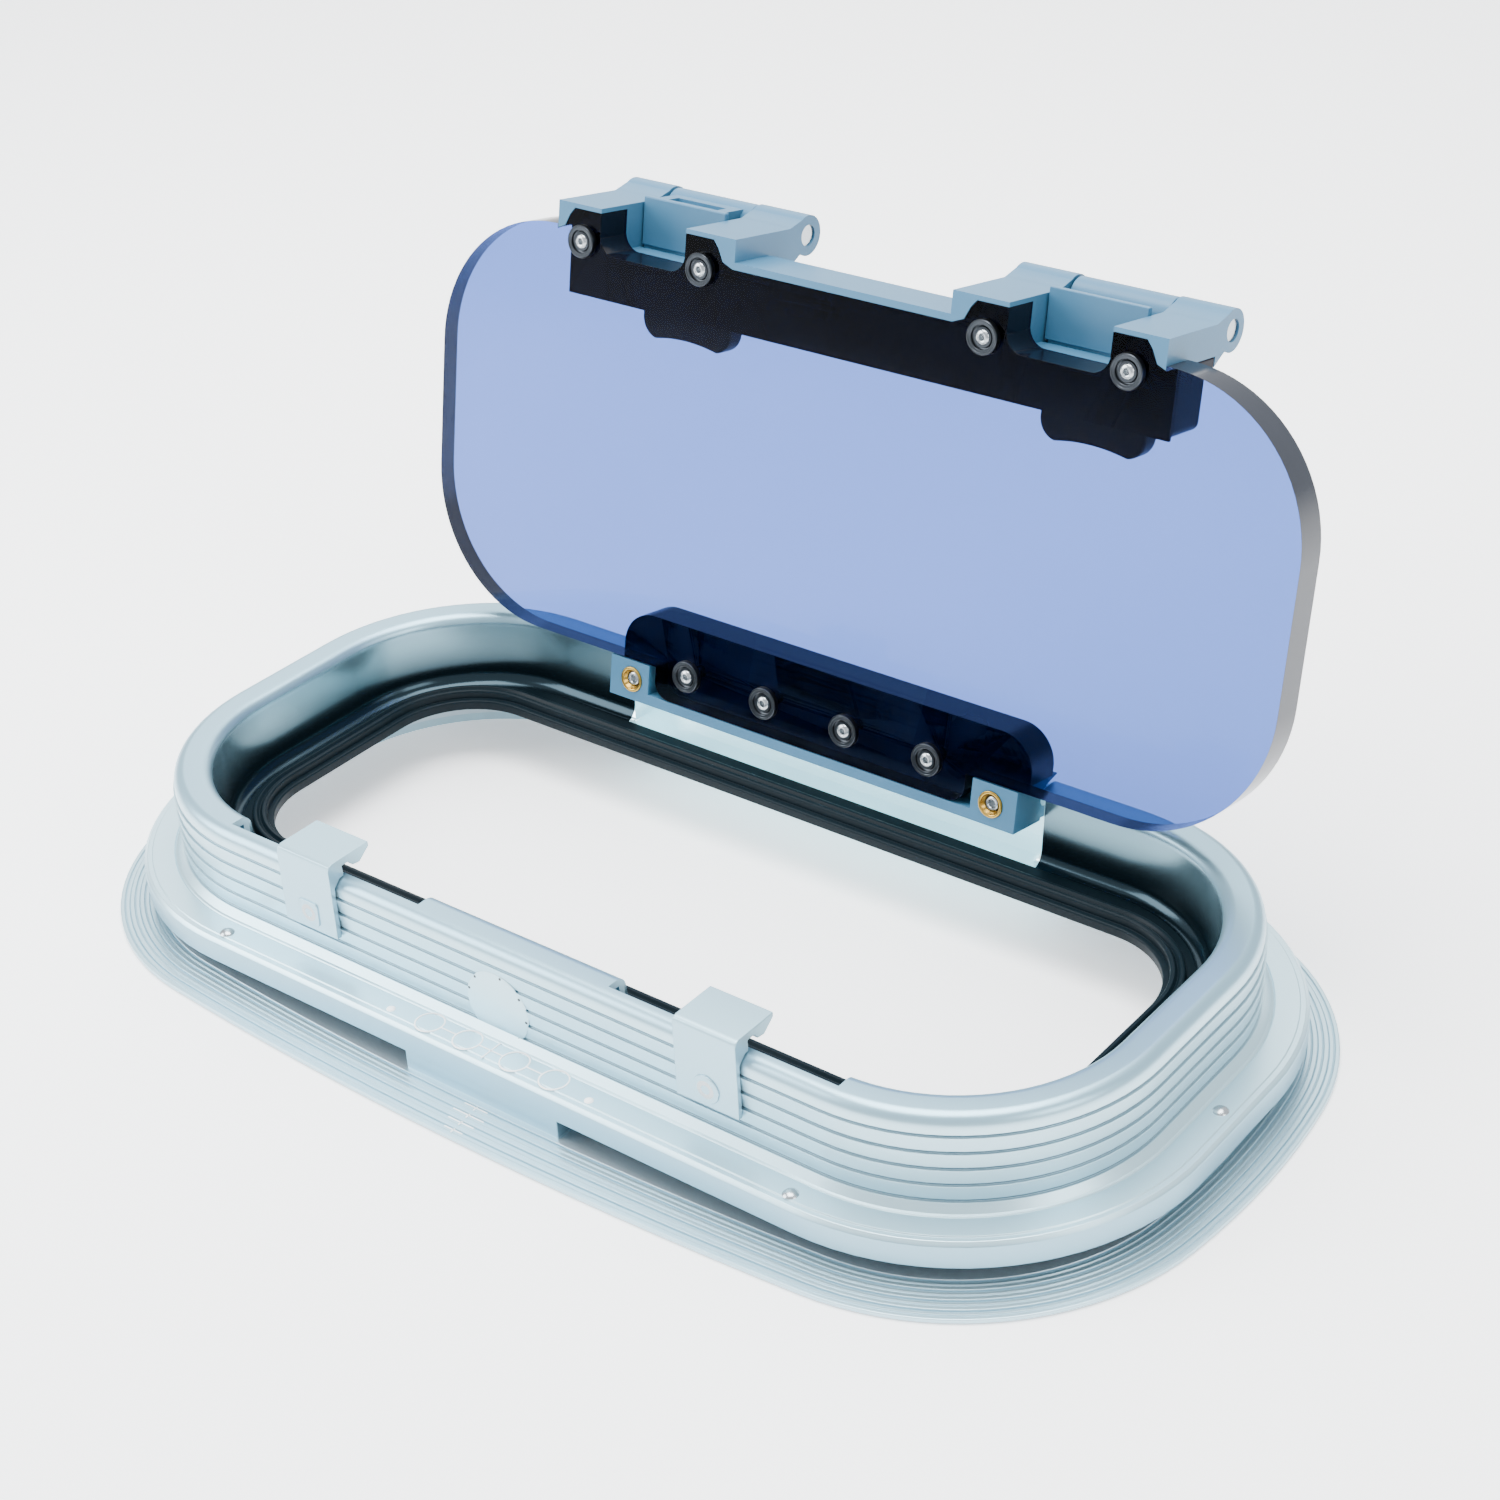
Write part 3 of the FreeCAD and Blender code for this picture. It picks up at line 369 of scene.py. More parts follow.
def makeFrameMetal():
    # pale satin metal, with painted light: wall and flange painted brighter, painted shade lines in the laps,
    # a throat painted darker towards the ledge, a recess painted pale and glowing, a channel painted lighter
    material, tree, shader, place = startMaterial("frameMetal", 0.32, 0.75)
    grain, mottle = addGrain(tree, place, 2200, 12)
    node = tree.nodes.new("ShaderNodeGroup")
    node.node_tree = insetGroup
    tree.links.new(place, node.inputs["Vector"])
    inset, height = node.outputs["Inset"], node.outputs["Height"]
    along, back = node.outputs["Along"], node.outputs["Back"]
    zone = frameLook["zones"]

    def both(first, second):
        return mathNode(tree, "MULTIPLY", first, second)

    outer = mixColor(tree, mottle, frameLook["outerDark"], frameLook["outer"])
    # painted light: the wall faces between these heights, and below them the flange, are painted brighter
    paintedLightWall = bandNode(tree, height, zone["wallLow"], zone["wallHigh"])
    outer = mixColor(tree, both(paintedLightWall, rangeNode(tree, inset, *zone["wallFace"])), outer, frameLook["wall"])
    outer = mixColor(tree, rangeNode(tree, height, *zone["flangeTop"]), outer, frameLook["flange"])
    # painted shade: a thin dark line on the wall face just above each lap's ledge
    start = frameLook["lapStart"]
    lap = mathNode(tree, "WRAP", height, start + frameLook["lapPitch"], start)
    lap = mathNode(tree, "SUBTRACT", lap, start)
    line = bandNode(tree, lap, zone["grooveLow"], zone["grooveHigh"])
    line = both(line, bandNode(tree, height, zone["lapsLow"], zone["lapsHigh"]))
    line = both(line, bandNode(tree, inset, zone["wallFace"], zone["discFace"]))
    outer = mixColor(tree, line, outer, frameLook["groove"])
    # painted shade and painted dark reflection: the throat grows darker towards the ledge
    depth = rangeNode(tree, height, *zone["throat"])
    throat = mixColor(tree, depth, frameLook["throatLight"], frameLook["throatDark"])
    inside = both(rangeNode(tree, inset, *zone["lip"]), rangeNode(tree, height, *zone["lipTop"]))
    color = mixColor(tree, inside, outer, throat)
    # painted light: the recess is painted pale and given a glow, to lift it out of the shade under the lens
    recessLitMask = both(rangeNode(tree, along, *zone["recessHalf"]), rangeNode(tree, back, *zone["recessFront"]))
    color = mixColor(tree, recessLitMask, color, frameLook["recess"])
    # painted light: the channel between flange and ring, apart from the key, is painted lighter against the
    # ring's shade
    channelLightMask = bandNode(tree, height, zone["channelLow"], zone["channelHigh"])
    key = both(rangeNode(tree, along, *zone["keyHalf"]), rangeNode(tree, back, *zone["keyBack"]))
    channelLightMask = both(channelLightMask, mathNode(tree, "SUBTRACT", 1.0, key))
    color = mixColor(tree, channelLightMask, color, frameLook["channel"])
    tree.links.new(color, shader.inputs["Base Color"])
    tree.links.new(mixColor(tree, recessLitMask, (0, 0, 0, 1), frameLook["pocketPaintedGlow"]), shader.inputs["Emission Color"])
    shader.inputs["Emission Strength"].default_value = 1.0
    rough = mixColor(tree, inside, (0.33, 0.33, 0.33, 1), (0.16, 0.16, 0.16, 1))
    tree.links.new(rough, shader.inputs["Roughness"])
    addBump(tree, shader, grain, 0.05, 0.0002)
    return material


lensLook = {
    "face": (0.088, 0.148, 0.42, 1),
    "faceDeep": (0.080, 0.138, 0.40, 1),
    "edge": (0.020, 0.024, 0.034, 1),
    "edgeDark": (0.010, 0.012, 0.018, 1),
    "black": (0.002, 0.002, 0.005, 1),
    "ior": 1.47,
    "glint": (0.07, 0.08, 0.10, 1),
    "edgeShine": 0.30,
    "outward": (0, -0.982, 0.1886),
    "along": (0, 0.1886, 0.982),
    "hingeEdge": 0.06478,
    "covered": (((-0.0002, -0.0006), (0.0645, 0.0640)), ((0.1325, 0.1330), (0.1138, 0.1134))),
    "flatFace": 0.8,
}


def makeLensAcrylic():
    # clear blue-tinted sheet for the two flat faces
    material, tree, shader, place = startMaterial("lensAcrylic", 0.01)
    shader.inputs["Transmission Weight"].default_value = 1.0
    shader.inputs["IOR"].default_value = lensLook["ior"]
    shader.inputs["Specular Tint"].default_value = lensLook["glint"]
    grain, mottle = addGrain(tree, place, 700, 9)
    face = mixColor(tree, mottle, lensLook["faceDeep"], lensLook["face"])
    tree.links.new(face, shader.inputs["Base Color"])
    tree.links.new(spread(tree, grain, 0.006, 0.014), shader.inputs["Roughness"])
    return material


def makeLensEdge():
    # polished rim of the sheet, black where a gasket lies against it
    material, tree, shader, place = startMaterial("lensEdge", 0.12, 0.0, lensLook["edgeShine"])

    def dotWith(vector, direction):
        dot = tree.nodes.new("ShaderNodeVectorMath")
        dot.operation = "DOT_PRODUCT"
        tree.links.new(vector, dot.inputs[0])
        dot.inputs[1].default_value = direction
        return dot.outputs["Value"]

    reach = mathNode(tree, "SUBTRACT", dotWith(place, lensLook["along"]), lensLook["hingeEdge"])
    across = mathNode(tree, "ABSOLUTE", dotWith(place, (1, 0, 0)))
    ends = []
    for end, half in lensLook["covered"]:
        ends.append(mathNode(tree, "MULTIPLY", rangeNode(tree, reach, *end), rangeNode(tree, across, *half)))
    covered = mathNode(tree, "MAXIMUM", *ends)
    grain, mottle = addGrain(tree, place, 700, 40)
    edge = mixColor(tree, mottle, lensLook["edgeDark"], lensLook["edge"])
    tree.links.new(mixColor(tree, covered, edge, lensLook["black"]), shader.inputs["Base Color"])
    tree.links.new(spread(tree, grain, 0.10, 0.18), shader.inputs["Roughness"])
    return material


materials = {name: makeFinish(name) for name in finishes}
materials["frameMetal"] = makeFrameMetal()
materials["lensAcrylic"] = makeLensAcrylic()
materials["lensEdge"] = makeLensEdge()
print("materials ready", len(materials))

# mesh helpers

def finishMesh(name, mesh, material, body, replaced, sharpAngle=32):
    # shade smoothly with hard edges where faces meet at an angle, then hand the piece over
    bm = bmesh.new()
    bm.from_mesh(mesh)
    bmesh.ops.remove_doubles(bm, verts=bm.verts, dist=1e-7)
    bmesh.ops.recalc_face_normals(bm, faces=bm.faces)
    limit = math.radians(sharpAngle)
    for face in bm.faces:
        face.smooth = True
    for edge in bm.edges:
        edge.smooth = len(edge.link_faces) == 2 and edge.calc_face_angle(0) < limit
    bm.to_mesh(mesh)
    bm.free()
    work = newObject("normalWork", mesh)
    steady = work.modifiers.new("steady", "WEIGHTED_NORMAL")
    steady.keep_sharp = True
    mesh = bpy.data.meshes.new_from_object(work.evaluated_get(bpy.context.evaluated_depsgraph_get()))
    mesh.name = name
    bpy.data.objects.remove(work)
    obj = newObject(name, mesh)
    if material:
        putMaterial(obj, material)
    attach(obj, body)
    if replaced:
        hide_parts(*replaced)
    return obj


def sweepMesh(name, rings):
    # closed tube of quads through rings of equal length; the last ring joins the first
    bm = bmesh.new()
    rows = [[bm.verts.new((x * mm, y * mm, z * mm)) for x, y, z in ring] for ring in rings]
    count = len(rows[0])
    for near, far in zip(rows, rows[1:] + rows[:1]):
        for i in range(count):
            k = (i + 1) % count
            bm.faces.new((near[i], near[k], far[k], far[i]))
    bmesh.ops.recalc_face_normals(bm, faces=bm.faces)
    mesh = bpy.data.meshes.new(name)
    bm.to_mesh(mesh)
    bm.free()
    return mesh


def softProfile(points):
    # points are (u, z) or (u, z, radius); a radius rounds that corner with four short steps
    out = []
    for i, point in enumerate(points):
        if len(point) == 2 or i in (0, len(points) - 1):
            out.append(point[:2])
            continue
        here = Vector(point[:2])
        before = (Vector(points[i - 1][:2]) - here).normalized()
        after = (Vector(points[i + 1][:2]) - here).normalized()
        half = before.angle(after) / 2
        reach = point[2] / math.tan(half)
        start, end = here + before * reach, here + after * reach
        for k in range(5):
            t = k / 4
            bend = start * (1 - t) ** 2 + here * (2 * t * (1 - t)) + end * t ** 2
            out.append((bend.x, bend.y))
    return out


arcSteps = 20
longSteps = 16
shortSteps = 8


def fillBetween(first, last, count):
    return [tuple(first[k] + (last[k] - first[k]) * i / count for k in range(3)) for i in range(1, count)]


def roundRing(halfX, halfY, corner, z):
    # rounded rectangle, counter-clockwise from the middle of its right side
    ring = []
    for sx, sy, turn in ((1, 1, 0), (-1, 1, 90), (-1, -1, 180), (1, -1, 270)):
        cx, cy = sx * (halfX - corner), sy * (halfY - corner)
        arc = []
        for i in range(arcSteps + 1):
            a = math.radians(turn + 90 * i / arcSteps)
            arc.append((cx + corner * math.cos(a), cy + corner * math.sin(a), z))
        if ring:
            steps = longSteps if turn in (90, 270) else shortSteps
            ring += fillBetween(ring[-1], arc[0], steps)
        ring += arc
    ring += fillBetween(ring[-1], ring[0], shortSteps)
    return ring


frameSize = {
    "wall": (180.0, 86.6, 66.0),
    "port": (151.5, 54.6, 30.0),
    "flange": (203.5, 115.5),
    "flangeBow": (260.0, 1450.0),
    "flangeCorner": 86.0,
}


def wallRing(inset, z):
    halfX, halfY, corner = frameSize["wall"]
    return roundRing(halfX - inset, halfY - inset, corner - inset, z)


def portRing(grow, z):
    halfX, halfY, corner = frameSize["port"]
    return roundRing(halfX + grow, halfY + grow, corner + grow, z)


def flangeRing(inset, z):
    # long sides and ends are shallow arcs, joined by corner arcs that run into both
    halfX, halfY = frameSize["flange"]
    bowX, bowY = (r - inset for r in frameSize["flangeBow"])
    corner = frameSize["flangeCorner"] - inset
    cx, cy = halfX - frameSize["flangeBow"][0], halfY - frameSize["flangeBow"][1]
    p, q, d = bowY - corner, bowX - corner, math.hypot(cx, cy)
    along = (p * p - q * q + d * d) / (2 * d)
    off = math.sqrt(p * p - along * along)
    ux, uy = cx / d, -cy / d
    kx, ky = ux * along + uy * off, cy + uy * along - ux * off
    if kx < 0:
        kx, ky = ux * along - uy * off, cy + uy * along + ux * off
    topTurn = math.atan2(ky - cy, kx)
    sideTurn = math.atan2(ky, kx - cx)
    quarter = []
    for i in range(shortSteps // 2):
        a = sideTurn * i / (shortSteps // 2)
        quarter.append((cx + bowX * math.cos(a), bowX * math.sin(a)))
    for i in range(arcSteps + 1):
        a = sideTurn + (topTurn - sideTurn) * i / arcSteps
        quarter.append((kx + corner * math.cos(a), ky + corner * math.sin(a)))
    for i in range(1, longSteps // 2):
        a = topTurn + (math.pi / 2 - topTurn) * i / (longSteps // 2)
        quarter.append((bowY * math.cos(a), cy + bowY * math.sin(a)))
    top = (0.0, halfY - inset)
    ring = quarter + [top] + [(-x, y) for x, y in reversed(quarter)]
    ring += [(-x, -y) for x, y in quarter[1:]] + [(-top[0], -top[1])]
    ring += [(x, -y) for x, y in reversed(quarter[1:])]
    ring = ring[shortSteps // 2:] + ring[:shortSteps // 2]
    return [(x, y, z) for x, y in ring]


def boxMesh(name, low, high, bevel=0.0, segments=2):
    bm = bmesh.new()
    bmesh.ops.create_cube(bm, size=1.0)
    size = Vector(high) - Vector(low)
    middle = (Vector(high) + Vector(low)) / 2
    for vert in bm.verts:
        vert.co = Vector(tuple(middle[k] + vert.co[k] * size[k] for k in range(3))) * mm
    if bevel:
        bmesh.ops.bevel(bm, geom=list(bm.edges), offset=bevel * mm, segments=segments, profile=0.5,
                        affect="EDGES")
    mesh = bpy.data.meshes.new(name)
    bm.to_mesh(mesh)
    bm.free()
    return mesh


def prismMesh(name, outline, depth, place):
    # outline of (u, v) points drawn out from depth[0] to depth[1]; place maps (u, v, w) to millimetres
    bm = bmesh.new()
    ends = [[bm.verts.new(Vector(place(u, v, w)) * mm) for u, v in outline] for w in depth]
    bm.faces.new(ends[0])
    bm.faces.new(list(reversed(ends[1])))
    count = len(outline)
    for i in range(count):
        k = (i + 1) % count
        bm.faces.new((ends[0][i], ends[1][i], ends[1][k], ends[0][k]))
    bmesh.ops.recalc_face_normals(bm, faces=bm.faces)
    mesh = bpy.data.meshes.new(name)
    bm.to_mesh(mesh)
    bm.free()
    return mesh


def latheMesh(name, profile, steps=40):
    # profile of (radius, height) points turned about Z; ends on the axis close the shape
    bm = bmesh.new()
    rows = []
    for radius, height in profile:
        if radius < 1e-6:
            rows.append([bm.verts.new((0, 0, height * mm))])
            continue
        row = []
        for i in range(steps):
            a = 2 * math.pi * i / steps
            row.append(bm.verts.new((radius * math.cos(a) * mm, radius * math.sin(a) * mm, height * mm)))
        rows.append(row)
    for near, far in zip(rows, rows[1:]):
        for i in range(steps):
            k = (i + 1) % steps
            corners = [near[i % len(near)], near[k % len(near)], far[k % len(far)], far[i % len(far)]]
            unique = list(dict.fromkeys(corners))
            if len(unique) > 2:
                bm.faces.new(unique)
    bmesh.ops.recalc_face_normals(bm, faces=bm.faces)
    mesh = bpy.data.meshes.new(name)
    bm.to_mesh(mesh)
    bm.free()
    return mesh


def carve(mesh, cutters, operation="DIFFERENCE"):
    # run the cutters through the mesh one after the other and return the plain result
    work = newObject("carveWork", mesh)
    for cutter in cutters:
        tool = newObject("carveTool", cutter)
        step = work.modifiers.new("cut", "BOOLEAN")
        step.operation = operation
        step.solver = "EXACT"
        step.object = tool
        shaped = bpy.data.meshes.new_from_object(work.evaluated_get(bpy.context.evaluated_depsgraph_get()))
        work.modifiers.clear()
        work.data = shaped
        bpy.data.objects.remove(tool)
    result = work.data
    bpy.data.objects.remove(work)
    return result


def joinMeshes(name, meshes):
    bm = bmesh.new()
    for mesh in meshes:
        bm.from_mesh(mesh)
    joined = bpy.data.meshes.new(name)
    bm.to_mesh(joined)
    bm.free()
    return joined


def softCopy(node, width, segments=3, edgeAngle=30):
    # a node's own shape with its hard edges rounded over
    bm = bmesh.new()
    bm.from_mesh(nodes[node].data)
    bmesh.ops.remove_doubles(bm, verts=bm.verts, dist=2e-6)
    bmesh.ops.dissolve_limit(bm, angle_limit=math.radians(1.0), verts=bm.verts, edges=bm.edges)
    mesh = bpy.data.meshes.new(node + "Soft")
    bm.to_mesh(mesh)
    bm.free()
    work = newObject("softWork", mesh)
    bevel = work.modifiers.new("round", "BEVEL")
    bevel.width = width * mm
    bevel.segments = segments
    bevel.limit_method = "ANGLE"
    bevel.angle_limit = math.radians(edgeAngle)
    bevel.use_clamp_overlap = True
    bevel.miter_outer = "MITER_ARC"
    soft = bpy.data.meshes.new_from_object(work.evaluated_get(bpy.context.evaluated_depsgraph_get()))
    bpy.data.objects.remove(work)
    return soft


# frame: one swept skin, carved for the strikes and the hinge, with the key and disc added

frameDetail = {
    "flangeEdge": 1.2,
    "stepRise": 0.5,
    "stepRun": 3.3,
    "steps": 4,
    "neck": -4.0,
    "ringBottom": 9.5,
    "ringTop": 18.2,
    "ringOut": -13.9,
    "lapTop": 42.2,
    "lapPitch": 5.4,
    "laps": 5,
    "lapDepth": 0.6,
    "rimZ": 48.5,
    "rimRound": 4.0,
    "lipWidth": 12.6,
    "throatFoot": (19.0, 22.9),
    "flare": (14.4, 28.5),
    "cutouts": (37.0, 117.3),
    "shoulder": 81.4,
    "recess": {"half": 83.0, "reach": 84.6, "corner": 4.0, "notch": 46.0},
    "cavity": (-84.6, -77.0, -75.2),
    "wallFace": -86.6,
    "open": 60.0,
    "key": 30.0,
    "disc": (-2.5, 28.5, 12.0),
}


def flangeProfile(look):
    points = [(0.0, 0.0), (0.0, look["flangeEdge"], 0.35)]
    for i in range(1, look["steps"] + 1):
        run, low = look["stepRun"] * i, look["flangeEdge"] + look["stepRise"] * (i - 1)
        half = run - look["stepRun"] / 2
        points += [(half - 0.45, low, 0.1), (half, low - 0.5, 0.1), (half + 0.3, low, 0.1)]
        points += [(run - 0.4, low, 0.1), (run - 0.1, low - 0.45, 0.08), (run, low + look["stepRise"], 0.2)]
    points.append((run + 0.6, low + look["stepRise"]))
    return softProfile(points)


def wallProfile(look):
    top, out = look["ringTop"], look["ringOut"]
    neck = look["neck"]
    points = [(neck, look["flangeEdge"] + look["steps"] * look["stepRise"]), (neck, look["ringBottom"])]
    points += [(out, look["ringBottom"], 0.3), (out, top - 1.5, 0.5), (out + 1.2, top - 0.35, 0.4)]
    points += [(out + 2.7, top - 0.35, 0.1), (out + 3.0, top, 0.12)]
    points += [(-3.9, top, 0.15), (-3.6, top - 0.3, 0.1), (-3.2, top, 0.15), (-2.6, top + 0.2, 0.3)]
    for i in reversed(range(look["laps"])):
        z = look["lapTop"] - i * look["lapPitch"]
        points += [(-look["lapDepth"], z, 0.12), (0.25, z + 0.05, 0.1), (0.0, z + 0.7, 0.3)]
    profile = softProfile(points + [(0.0, look["rimZ"] - look["rimRound"])])
    rim = look["rimRound"]
    for i in range(1, 9):
        a = math.radians(90 * i / 8)
        profile.append((rim * (1 - math.cos(a)), look["rimZ"] - rim + rim * math.sin(a)))
    for i in range(9):
        a = math.radians(90 - 90 * i / 8)
        profile.append((look["lipWidth"] - rim * (1 - math.cos(a)), look["rimZ"] - rim + rim * math.sin(a)))
    (footIn, footZ), (flareIn, flareZ) = look["throatFoot"], look["flare"]
    for i in range(9):
        a = math.radians(90 * i / 8)
        across = flareIn + (footIn - flareIn) * (1 - math.cos(a))
        profile.append((across, flareZ - (flareZ - footZ) * math.sin(a)))
    return profile


def recessOutline(look):
    half, corner = look["recess"]["half"], look["recess"]["corner"]
    low = look["throatFoot"][1] + 0.05
    points = [(-half, look["open"])]
    for sign in (-1, 1):
        for i in range(7):
            a = math.radians(90 * i / 6)
            step = (1 - math.cos(a), 1 - math.sin(a)) if sign < 0 else (1 - math.sin(a), 1 - math.cos(a))
            points.append((sign * (half - corner * step[0]), low + corner * step[1]))
    return points + [(half, look["open"])]


def buildFrame(look):
    rings = [flangeRing(inset, z) for inset, z in flangeProfile(look)]
    rings += [wallRing(inset, z) for inset, z in wallProfile(look)]
    rings += [portRing(0.0, look["throatFoot"][1]), portRing(0.0, look["throatFoot"][1] - 2.0)]
    rings += [wallRing(2.0, look["throatFoot"][1] - 2.0), wallRing(2.0, 0.0)]
    skin = sweepMesh("frameSkin", rings)
    low = look["throatFoot"][1] + 0.05
    inner, outer = look["cutouts"]
    far, near, foot = look["cavity"]
    half, reach, notch = (look["recess"][key] for key in ("half", "reach", "notch"))
    cavity = [(far, low), (far, notch), (near, notch), (foot, low)]
    cutters = []
    for x0, x1 in ((-outer, -inner), (inner, outer)):
        cutters.append(prismMesh("hollow", cavity, (x0 - 6.0, x1 + 6.0), lambda u, v, w: (w, u, v)))
        cutters.append(boxMesh("cutout", (x0, -look["shoulder"], low), (x1, -48.0, look["open"])))
    cutters.append(prismMesh("recess", recessOutline(look), (46.0, reach), lambda u, v, w: (u, w, v)))
    cutters.append(boxMesh("notch", (-half, reach - 4.0, notch), (half, 96.0, look["open"])))
    skin = carve(skin, cutters)
    keyY = look["wallFace"] + look["ringOut"]
    key = boxMesh("key", (-look["key"], keyY, 1.0), (look["key"], keyY + 10.9, look["ringBottom"] + 0.3), 0.4)
    discX, discZ, discR = look["disc"]
    disc = latheMesh("disc", [(0, 0.62), (discR - 0.4, 0.62), (discR, 0.3), (discR, -1.5), (0, -1.5)], 72)
    discPlace = Matrix.Translation((discX * mm, look["wallFace"] * mm, discZ * mm))
    disc.transform(discPlace @ Matrix.Rotation(math.pi / 2, 4, "X"))
    return joinMeshes("frameShape", [skin, key, disc])


frameShape = finishMesh("frameBody", buildFrame(frameDetail), materials["frameMetal"], "frame", ["frame"], 40)
print("frame built", len(frameShape.data.polygons))


# marks on the ring: four plain circles, beads and fine lines

marks = {
    "circles": (-24.5, -9.3, 9.3, 24.5),
    "circleY": -94.2,
    "circleR": 4.5,
    "beads": ((-39.0, -95.8), (39.0, -95.8)),
    "lines": ((-20.0, -13.8, 0.0), (-4.8, 4.8, 0.0), (13.8, 20.0, 0.0)),
    "height": 18.2,
    "ticks": (7.0, 10.0, 12.0, 9.0),  # one row on each step of the flange
}


def buildMarks(look):
    z = look["height"]
    meshes = []
    for x in look["circles"]:
        r = look["circleR"]
        section = [(r - 0.3, -0.1), (r - 0.2, 0.2), (r + 0.2, 0.2), (r + 0.3, -0.1), (r - 0.3, -0.1)]
        ring = latheMesh("circle", section, 48)
        ring.transform(Matrix.Translation((x * mm, look["circleY"] * mm, z * mm)))
        meshes.append(ring)
    for x, y in look["beads"]:
        bead = latheMesh("bead", [(0, 0.55), (0.8, 0.45), (1.3, 0.2), (1.5, -0.1), (0, -0.1)], 24)
        bead.transform(Matrix.Translation((x * mm, y * mm, z * mm)))
        meshes.append(bead)
    y = look["circleY"]
    for x0, x1, shift in look["lines"]:
        meshes.append(boxMesh("line", (x0, y + shift - 0.2, z - 0.1), (x1, y + shift + 0.2, z + 0.15)))
    meshes.append(boxMesh("line", (-0.2, y - 4.2, z - 0.1), (0.2, y + 4.2, z + 0.15)))
    for i, reach in enumerate(look["ticks"]):
        low = -114.0 + i * frameDetail["stepRun"]
        level = frameDetail["flangeEdge"] + frameDetail["stepRise"] * i
        tickEnd = (reach / 2, low + 1.4, level + 0.15)
        meshes.append(boxMesh("tick", (-reach / 2, low + 1.0, level - 0.1), tickEnd))
        meshes.append(boxMesh("tick", (-0.2, low, level - 0.1), (0.2, low + 3.0, level + 0.15)))
    return joinMeshes("ringMarks", meshes)


ringMarks = finishMesh("ringMarks", buildMarks(marks), materials["markLine"], "frame", [])


# seal: thin sheet with a grooved pad, wrapped round the ledge

sealDetail = {
    "ledge": 22.9,
    "sheet": 23.7,
    "padTop": 26.7,
    "pad": (0.6, 5.2),
    "low": 20.1,
    "wrap": -1.5,
    "lap": 3.0,
    "outer": 19.0,
}


def buildSeal(look):
    inner, outer = look["pad"]
    middle = (inner + outer) / 2
    sheet, top = look["sheet"], look["padTop"]
    points = [(outer + 3.0, sheet), (outer + 0.2, sheet, 0.3), (outer, top, 0.9), (middle + 0.9, top, 0.3)]
    points += [(middle, top - 1.1, 0.3), (middle - 0.9, top, 0.3)]
    points += [(inner, top, 0.9), (inner - 0.1, sheet, 0.2)]
    points += [(look["wrap"], sheet, 0.8), (look["wrap"], look["low"], 0.6), (look["lap"], look["low"])]
    rings = [wallRing(look["outer"] + 0.1, look["ledge"]), wallRing(look["outer"] + 0.1, sheet - 0.1)]
    rings += [portRing(grow, z) for grow, z in softProfile(points)]
    rings += [portRing(look["lap"], look["ledge"] - 2.0), portRing(0.0, look["ledge"] - 2.0)]
    rings.append(portRing(0.0, look["ledge"]))
    return sweepMesh("sealShape", rings)


sealShape = finishMesh("sealBody", buildSeal(sealDetail), materials["blackRubber"], "frame", ["seal"], 50)
print("seal built", len(sealShape.data.polygons))


# repeated small parts: one turned unit set on every spot

def makeRepeatTree():
    tree = bpy.data.node_groups.new("repeatOnSpots", "GeometryNodeTree")
    tree.interface.new_socket("Geometry", in_out="INPUT", socket_type="NodeSocketGeometry")
    unit = tree.interface.new_socket("Unit", in_out="INPUT", socket_type="NodeSocketObject")
    tilt = tree.interface.new_socket("Tilt", in_out="INPUT", socket_type="NodeSocketVector")
    spin = tree.interface.new_socket("Spin Range", in_out="INPUT", socket_type="NodeSocketFloat")
    finish = tree.interface.new_socket("Finish", in_out="INPUT", socket_type="NodeSocketMaterial")
    tree.interface.new_socket("Geometry", in_out="OUTPUT", socket_type="NodeSocketGeometry")
    start, end = tree.nodes.new("NodeGroupInput"), tree.nodes.new("NodeGroupOutput")
    info = tree.nodes.new("GeometryNodeObjectInfo")
    place = tree.nodes.new("GeometryNodeInstanceOnPoints")
    turn = tree.nodes.new("FunctionNodeEulerToRotation")
    chance = tree.nodes.new("FunctionNodeRandomValue")
    chance.data_type = "FLOAT"
    chance.inputs["Seed"].default_value = 7
    pack = tree.nodes.new("ShaderNodeCombineXYZ")
    spinTurn = tree.nodes.new("FunctionNodeEulerToRotation")
    compose = tree.nodes.new("FunctionNodeRotateRotation")
    compose.rotation_space = "LOCAL"
    real = tree.nodes.new("GeometryNodeRealizeInstances")
    paint = tree.nodes.new("GeometryNodeSetMaterial")
    links = tree.links
    links.new(start.outputs["Unit"], info.inputs["Object"])
    links.new(start.outputs["Geometry"], place.inputs["Points"])
    links.new(info.outputs["Geometry"], place.inputs["Instance"])
    links.new(start.outputs["Tilt"], turn.inputs[0])
    links.new(start.outputs["Spin Range"], chance.inputs[3])
    links.new(chance.outputs[1], pack.inputs["Z"])
    links.new(pack.outputs[0], spinTurn.inputs[0])
    links.new(turn.outputs[0], compose.inputs[0])
    links.new(spinTurn.outputs[0], compose.inputs[1])
    links.new(compose.outputs[0], place.inputs["Rotation"])
    links.new(place.outputs["Instances"], real.inputs["Geometry"])
    links.new(real.outputs[0], paint.inputs["Geometry"])
    links.new(start.outputs["Finish"], paint.inputs["Material"])
    links.new(paint.outputs[0], end.inputs[0])
    sockets = {"unit": unit, "tilt": tilt, "spin": spin, "finish": finish}
    return tree, {key: socket.identifier for key, socket in sockets.items()}


repeatTree, repeatSockets = makeRepeatTree()


